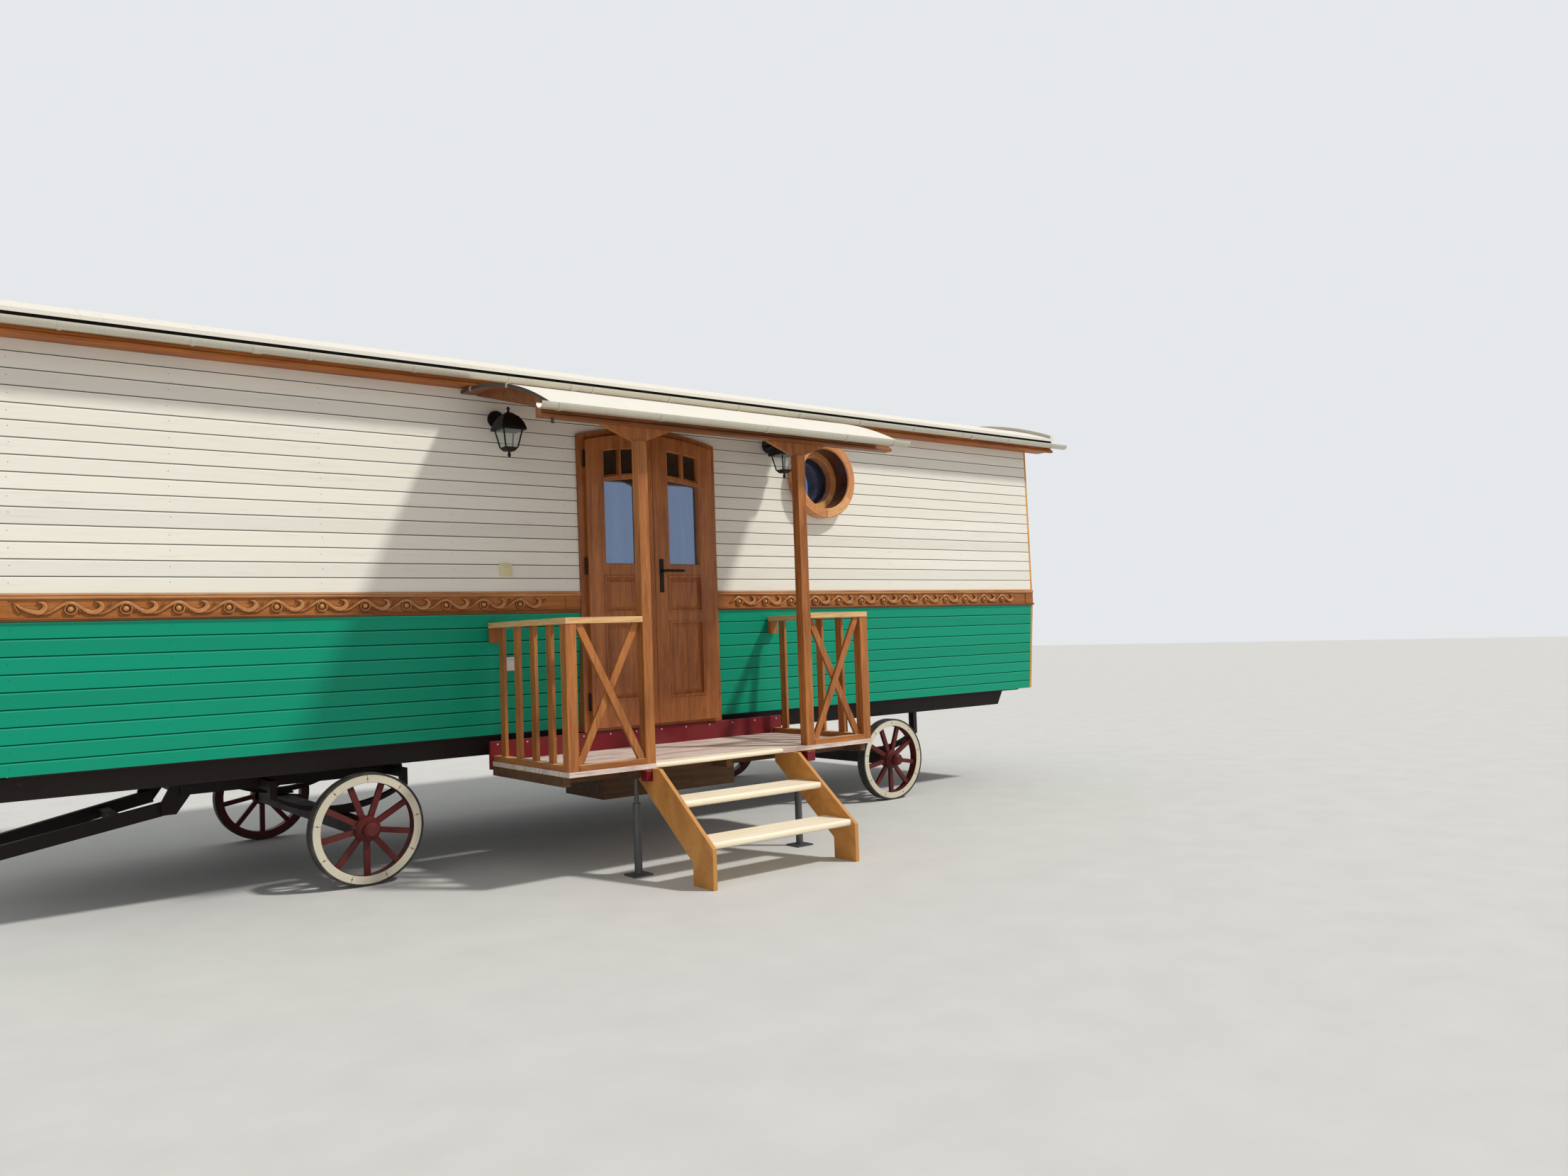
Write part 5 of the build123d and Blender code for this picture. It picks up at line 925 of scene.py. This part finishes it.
def bead(mesh, line):
    """A rounded moulding on a leaf's face round a closed line of (x, z)."""
    rows = []
    for i, (x, z) in enumerate(line):
        before, after = line[i - 1], line[(i + 1) % len(line)]
        first = Vector((x - before[0], z - before[1])).normalized()
        second = Vector((after[0] - x, after[1] - z)).normalized()
        side = Vector((-(first + second).y, (first + second).x)).normalized()
        reach = BEAD_WIDTH / max(0.4, side.dot(Vector((-first.y, first.x))))
        rows.append([(x + side.x * s * reach, LEAF_FACE - t * BEAD_HEIGHT + 0.0004, z + side.y * s * reach)
                     for s, t in BEAD_SECTION])
    rows.append(rows[0])
    mesh.rows(rows, caps=False)


def panel_beads(side):
    """The beads round a leaf's two raised panels."""
    low, high = LIGHTS[side]
    x0, x1 = low.x - PANEL_EDGE, high.x + PANEL_EDGE
    mesh = Mesh()
    for bottom, top in PANELS:
        z0, z1 = FRAME_LOW.z + bottom - PANEL_EDGE, FRAME_LOW.z + top + PANEL_EDGE
        bead(mesh, [(x0, z0), (x1, z0), (x1, z1), (x0, z1)])
    mesh.done("panel_beads_" + side, "stained_wood", body_of("door_leaf_" + side))


def arch(level, x):
    """The level of one of the doors' arches at a place, from its level at the doors' middle."""
    return level - ARCH_RADIUS + math.sqrt(ARCH_RADIUS ** 2 - (x - DOOR_X) ** 2)


def glazing_beads(side):
    """Round beads that hold the panes, set into the openings a little behind the leaf's face."""
    low, high = LIGHTS[side]
    middle = (low.x + high.x) / 2
    front = LEAF_FACE + 0.004
    profile = ((0, front), (0.002, front - 0.002), (0.005, front + 0.001), (0.006, front + 0.006),
               (0.006, low.y))
    panes = (
        (low.x, high.x, False, PANE_TOP),
        (low.x, middle - BAR_HALF_WIDTH, True, LIGHT_TOP),
        (middle + BAR_HALF_WIDTH, high.x, True, LIGHT_TOP),
    )
    mesh = Mesh()
    for near, far, arched_foot, top in panes:
        places = [near + (far - near) * k / 8 for k in range(9)]
        upper = [(x, arch(top, x)) for x in places]
        lower = [(near, low.z), (far, low.z)]
        if arched_foot:
            lower = [(x, arch(PANE_TOP + BAR_HEIGHT, x)) for x in places]
        centre_x, centre_z = (near + far) / 2, (upper[4][1] + lower[0][1]) / 2
        rows = []
        for inset, y in profile:
            ring = []
            for x, z in lower + upper[::-1]:
                step_x = inset * (0.4 if abs(x - middle) < 0.02 else 1)
                if near + 0.001 < x < far - 0.001:
                    step_x = 0
                new_x = x + step_x if x < centre_x else x - step_x
                new_z = z + inset if z < centre_z else z - inset
                ring.append((new_x, y, new_z))
            rows.append(ring)
        mesh.rows(rows, caps=False, rounded=False)
    mesh.done("glazing_beads_" + side, "stained_wood", body_of("door_leaf_" + side), BEAD_WOOD)


CURTAIN_Y = -0.498
CURTAIN_COLUMNS, CURTAIN_ROWS = 56, 18
ROD_RADIUS, ROD_OVERHANG = 0.003, 0.02


def curtain(side):
    """A light curtain behind a leaf's lights, hanging from a thin rod on the leaf's back."""
    low, high = LIGHTS[side]
    body = body_of("door_leaf_" + side)
    x0, x1 = low.x - 0.012, high.x + 0.012
    z0, z1 = low.z - 0.02, high.z + 0.012
    rows = []
    for r in range(CURTAIN_ROWS + 1):
        v = r / CURTAIN_ROWS
        row = []
        for c in range(CURTAIN_COLUMNS + 1):
            u = c / CURTAIN_COLUMNS
            fold = 0.0065 * math.sin(2 * math.pi * 9 * u + 0.5 * math.sin(3 * v + 7 * u))
            fold += 0.002 * math.sin(2 * math.pi * 4 * u + 2 * v)
            row.append(Vector((x0 + (x1 - x0) * u, CURTAIN_Y + fold * (0.75 + 0.35 * v), z1 + (z0 - z1) * v)))
        rows.append(row)
    sheet = Mesh()
    sheet.rows(rows, closed=False, caps=False)
    made = sheet.done("door_curtain_" + side, "wall_lining", body, CURTAIN_CLOTH)
    rod = Mesh()
    ends = [(x, CURTAIN_Y, z1 + 0.003) for x in (x0 - ROD_OVERHANG, x1 + ROD_OVERHANG)]
    rod.bar(*ends, ROD_RADIUS)
    for x, y, z in ends:
        rod.bar((x, y, z), (x, LEAF_BACK, z), ROD_RADIUS)
    bar = rod.done("curtain_rod_" + side, "black_iron", body)


for side_name in LIGHTS:
    panel_beads(side_name)
    glazing_beads(side_name)
for side_name in LIGHTS:
    curtain(side_name)


# Canopy: edge strips, clips and the beam's hanger

CANOPY_LOW, CANOPY_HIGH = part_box("canopy_sheet")
CANOPY_RADIUS = 2.72
EDGE_STEPS = 24
CLIP_REACHES = (0.15, 0.68)


def canopy_z(reach):
    """The level of the canopy's top at a distance from the wall."""
    return CANOPY_HIGH.z - CANOPY_RADIUS + math.sqrt(CANOPY_RADIUS ** 2 - reach ** 2)


def canopy_edge():
    """A dark strip with clips on the sheet's left edge and a light one on its right edge."""
    dark_trim, light_trim, clips = Mesh(), Mesh(), Mesh()
    length = CANOPY_HIGH.y - CANOPY_LOW.y - 0.006
    reaches = [0.004 + length * k / EDGE_STEPS for k in range(EDGE_STEPS + 1)]
    line = [(WALL_Y - reach, canopy_z(reach)) for reach in reaches]
    for x, out, trim in ((CANOPY_LOW.x, -1, dark_trim), (CANOPY_HIGH.x, 1, light_trim)):
        trim.arched_bar(x + out * 0.001, x + out * 0.003, line, -0.019, 0.001)
    x = CANOPY_LOW.x - 0.001
    for reach in CLIP_REACHES:
        z, y = canopy_z(reach), WALL_Y - reach
        clips.box((x - 0.004, y - 0.012, z - 0.024), (x + 0.004, y + 0.012, z + 0.002))
    dark = paint("edge_strip", srgb(0.25, 0.24, 0.23), 0.5, 0.2)
    dark_trim.done("canopy_left_edge", "black_iron", material=dark)
    light_trim.done("canopy_right_edge", "eaves_wood", material=MATERIALS["cream_treads"])
    clips.done("canopy_edge_clips", "gutter_metal", soft=0.001)


def beam_hanger():
    """The small hanger plate under the beam's left end."""
    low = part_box("canopy_frame")[0]
    x, y = CANOPY_LOW.x + 0.107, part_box("posts")[0].y + 0.012
    plate = Mesh()
    plate.box((x - 0.01, y - 0.003, low.z - 0.03), (x + 0.01, y, low.z + 0.02))
    plate.box((x - 0.01, y - 0.012, low.z - 0.033), (x + 0.01, y, low.z - 0.03))
    plate.done("beam_hanger", "galvanised_steel", soft=0.0008)


# Gutters: straps under the joints and hangers at even distances

STRAP_STEPS = 14
JOINTS_FROM_RIGHT_END = (0.968, 2.97, 4.97, 6.97)
HANGER_PITCH = 0.62
CANOPY_MIDDLE_STRAP = 0.5


def strap(mesh, x, width, centre_y, top_z, inner, outer, reach=1.0):
    """A half-round strap under a gutter, from its -Y lip round to a share of the half turn."""
    section = ((inner, -width / 2), (outer, -width / 2), (outer, width / 2), (inner, width / 2))
    rows = []
    for k in range(STRAP_STEPS + 1):
        t = math.pi + math.pi * reach * k / STRAP_STEPS
        arm = Vector((0, math.cos(t), math.sin(t)))
        rows.append([Vector((x + aside, centre_y, top_z)) + arm * radius for radius, aside in section])
    mesh.rows(rows, rounded=False)


def gutter_fixings():
    """The straps of the roof's two gutters and of the canopy's."""
    straps = Mesh()
    low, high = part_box("gutters")
    for side_y, reach in ((low.y + 0.038, 1), (high.y - 0.038, 0.88)):
        for from_end in JOINTS_FROM_RIGHT_END:
            strap(straps, RIGHT_END - from_end, 0.05, side_y, high.z - 0.002, 0.0382, 0.0398, reach)
        x = LEFT_END - 0.3
        while x < RIGHT_END + 0.34:
            strap(straps, x, 0.022, side_y, high.z - 0.001, 0.0381, 0.0402, reach)
            x += HANGER_PITCH
    low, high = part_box("canopy_gutter")
    for x in (low.x + 0.12, low.x + 0.8, CANOPY_MIDDLE_STRAP, low.x + 2.3, high.x - 0.15):
        strap(straps, x, 0.024, (low.y + high.y) / 2, high.z - 0.001, 0.0381, 0.04)
    straps.done("gutter_straps", "gutter_metal")


canopy_edge()
beam_hanger()
gutter_fixings()


# Roof: a dark strip of painted shade behind the gutters and layered lines on the raised verges

ROOF_LOW, ROOF_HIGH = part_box("roof")
ROOF_RADIUS = 3.9
ROOF_CROWN = WALL_TOP + 0.387
VERGE_RISES = (0.007, 0.016, 0.025)
VERGE_STEPS = 48


def roof_z(y):
    """The level of the roof sheet's top across the wagon."""
    return ROOF_CROWN - ROOF_RADIUS + math.sqrt(ROOF_RADIUS ** 2 - (y - (WALL_Y + FAR_Y) / 2) ** 2)


def roof_edges():
    """Dark strips of painted shade between gutters and roof edge, and three layered lines on each verge."""
    gap_strip, lines = Mesh(), Mesh()
    fascia_low, fascia_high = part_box("eaves_boards")
    gutter_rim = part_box("gutters")[1].z
    for fascia, out in ((fascia_low.y, -1), (fascia_high.y, 1)):
        near, far = sorted((fascia, fascia + out * 0.0015))
        gap_strip.box((fascia_low.x + 0.02, near, gutter_rim - 0.004),
                      (fascia_high.x - 0.02, far, ROOF_LOW.z + 0.016))
    # painted shade: a near-black strip fills the gap where there is only shade
    shadow = paint("gap_strip", srgb(0.1, 0.08, 0.07), 0.6, 0.1)
    gap_strip.done("eaves_gap_strip", "black_iron", material=shadow)
    breadth = ROOF_HIGH.y - ROOF_LOW.y - 0.02
    across = [ROOF_LOW.y + 0.01 + breadth * k / VERGE_STEPS for k in range(VERGE_STEPS + 1)]
    for x, out in ((ROOF_HIGH.x - 0.045, -1), (ROOF_LOW.x + 0.045, 1)):
        for rise in VERGE_RISES:
            line = [(y, roof_z(y) + rise) for y in across]
            lines.arched_bar(x, x + out * 0.0012, line, -0.001, 0.001)
    lines.done("verge_lines", "roof_sheet", material=paint("verge_line", srgb(0.42, 0.36, 0.27), 0.6, 0.2))


roof_edges()


# Porthole: dark gasket and joints of the ring, two of them beside the wedge at its foot

GASKET = ((-0.392, 0.1874), (-0.392, 0.183), (-0.346, 0.183), (-0.346, 0.1874), (-0.392, 0.1874))
JOINT_DEGREES = (-32, -118, -92, -88, 32, 152, 90)
WEDGE_TILT = {-92: -0.008, -88: 0.008}


def porthole_details():
    """The gasket round the pane and the dark joints between the ring's pieces."""
    gasket = Mesh()
    gasket.lathe(GASKET, PORTHOLE, 48, rounded=False, caps=False)
    gasket.done("porthole_gasket", "tyre_rubber")
    joints = Mesh()
    front, back = Vector((0, PORTHOLE_LOW.y - 0.0003, 0)), Vector((0, PORTHOLE_LOW.y + 0.002, 0))
    for degrees in JOINT_DEGREES:
        angle = math.radians(degrees)
        along = Vector((-math.sin(angle), 0, math.cos(angle)))
        tilt, half = along * WEDGE_TILT.get(degrees, 0), along * 0.0007
        inner = PORTHOLE + upright_arm(angle) * 0.252 + tilt * 0.2
        outer = PORTHOLE + upright_arm(angle) * 0.309 - tilt
        joints.rows([[p + front - half, p + front + half, p + back + half, p + back - half]
                     for p in (inner, outer)], rounded=False)
    dark = paint("dark_joint", srgb(0.25, 0.12, 0.06), 0.6, 0.1)
    joints.done("porthole_joints", "stained_wood", material=dark)


porthole_details()


# Soft edges on the joinery of the CAD nodes

SOFT_EDGES = {
    0.0012: ("door_leaf_left", "door_leaf_right"),
    0.0015: ("door_frame", "canopy_frame", "window_frames", "corner_strips"),
    0.002: ("front_railings", "side_railings", "stringers", "treads", "deck_frame", "chassis_beams"),
    0.0025: ("posts",),
    0.003: ("skirt_board", "post_feet", "underfloor_locker"),
}


def soften(node, width):
    """Flat shading and a small bevel on a node's sharp edges."""
    custom = node.data.attributes.get("custom_normal")
    if custom is not None:
        node.data.attributes.remove(custom)
    node.data.polygons.foreach_set("use_smooth", [False] * len(node.data.polygons))
    node.modifiers.new("weld", "WELD").merge_threshold = 1e-5
    soft_edges(node, width, 40)


for edge_width, node_names in SOFT_EDGES.items():
    for node_name in node_names:
        soften(NODES[node_name], edge_width)


# Camera

def photo_camera():
    """The photograph's camera, from its place, its turn and its lens."""
    forward = Vector((
        math.sin(CAMERA_YAW) * math.cos(CAMERA_PITCH),
        math.cos(CAMERA_YAW) * math.cos(CAMERA_PITCH),
        math.sin(CAMERA_PITCH),
    ))
    level_right = Vector((math.cos(CAMERA_YAW), -math.sin(CAMERA_YAW), 0))
    level_up = level_right.cross(forward)
    right = math.cos(CAMERA_ROLL) * level_right + math.sin(CAMERA_ROLL) * level_up
    up = -math.sin(CAMERA_ROLL) * level_right + math.cos(CAMERA_ROLL) * level_up
    data = bpy.data.cameras.new("photo_camera")
    data.sensor_width = SENSOR_WIDTH
    data.lens = CAMERA_LENS
    data.clip_end = 200
    camera = added("photo_camera", data)
    turn = Matrix((right, up, -forward)).transposed()
    place = (RIGHT_END - CAMERA_FROM_RIGHT_END, WALL_Y - CAMERA_FROM_WALL, CAMERA_HEIGHT)
    camera.matrix_world = Matrix.Translation(place) @ turn.to_4x4()
    bpy.context.scene.camera = camera


# Floor, backdrop and light

FLOOR_REACH = 60
SUN_DIRECTION = Vector((-0.419, 0.493, -0.764))
SUN_ENERGY, SUN_WIDTH_DEGREES = 2.5, 5
WORLD_STRENGTH = 0.52


def studio_floor():
    """A pale level floor."""
    data = bpy.data.meshes.new("studio_floor")
    far = FLOOR_REACH
    data.from_pydata([(-far, -far, 0), (far, -far, 0), (far, far, 0), (-far, far, 0)], [], [(0, 1, 2, 3)])
    floor = added("studio_floor", data)
    g = Graph("studio_floor")
    shade = g.spread(g.noise(g.place(), 3, 3), 0.3, 0.7, 0.97, 1.03)
    colour = g.node("HueSaturation", Color=srgb(0.8, 0.8, 0.79), Value=shade).outputs[0]
    data.materials.append(g.surface(colour, 0.8))


def studio_world():
    """A pale world, which the camera, gloss and glass see brighter than it lights."""
    g = Graph("studio_world", world=True)
    bpy.context.scene.world = g.owner
    light = g.node("Background", Color=(0.98, 0.98, 0.985, 1), Strength=WORLD_STRENGTH).outputs[0]
    seen = g.node("Background", Color=srgb(0.9, 0.91, 0.92), Strength=1.0).outputs[0]
    rays = g.node("LightPath").outputs
    either = g.math("MAXIMUM", rays["Is Camera Ray"], rays["Is Glossy Ray"])
    any_ray = g.math("MAXIMUM", either, rays["Is Transmission Ray"])
    blend = g.node("MixShader", i0=any_ray, i1=light, i2=seen).outputs[0]
    g.tree.links.new(blend, g.out.inputs[0])


def studio_sun():
    """A soft high lamp from the front right."""
    sun = bpy.data.lights.new("studio_sun", "SUN")
    sun.energy = SUN_ENERGY
    sun.angle = math.radians(SUN_WIDTH_DEGREES)
    sun.color = (1, 0.97, 0.92)
    lamp = added("studio_sun", sun)
    lamp.rotation_mode = "QUATERNION"
    lamp.rotation_quaternion = SUN_DIRECTION.to_track_quat("-Z", "Y")


photo_camera()
studio_floor()
studio_world()
studio_sun()

bpy.context.scene.view_settings.view_transform = "Standard"
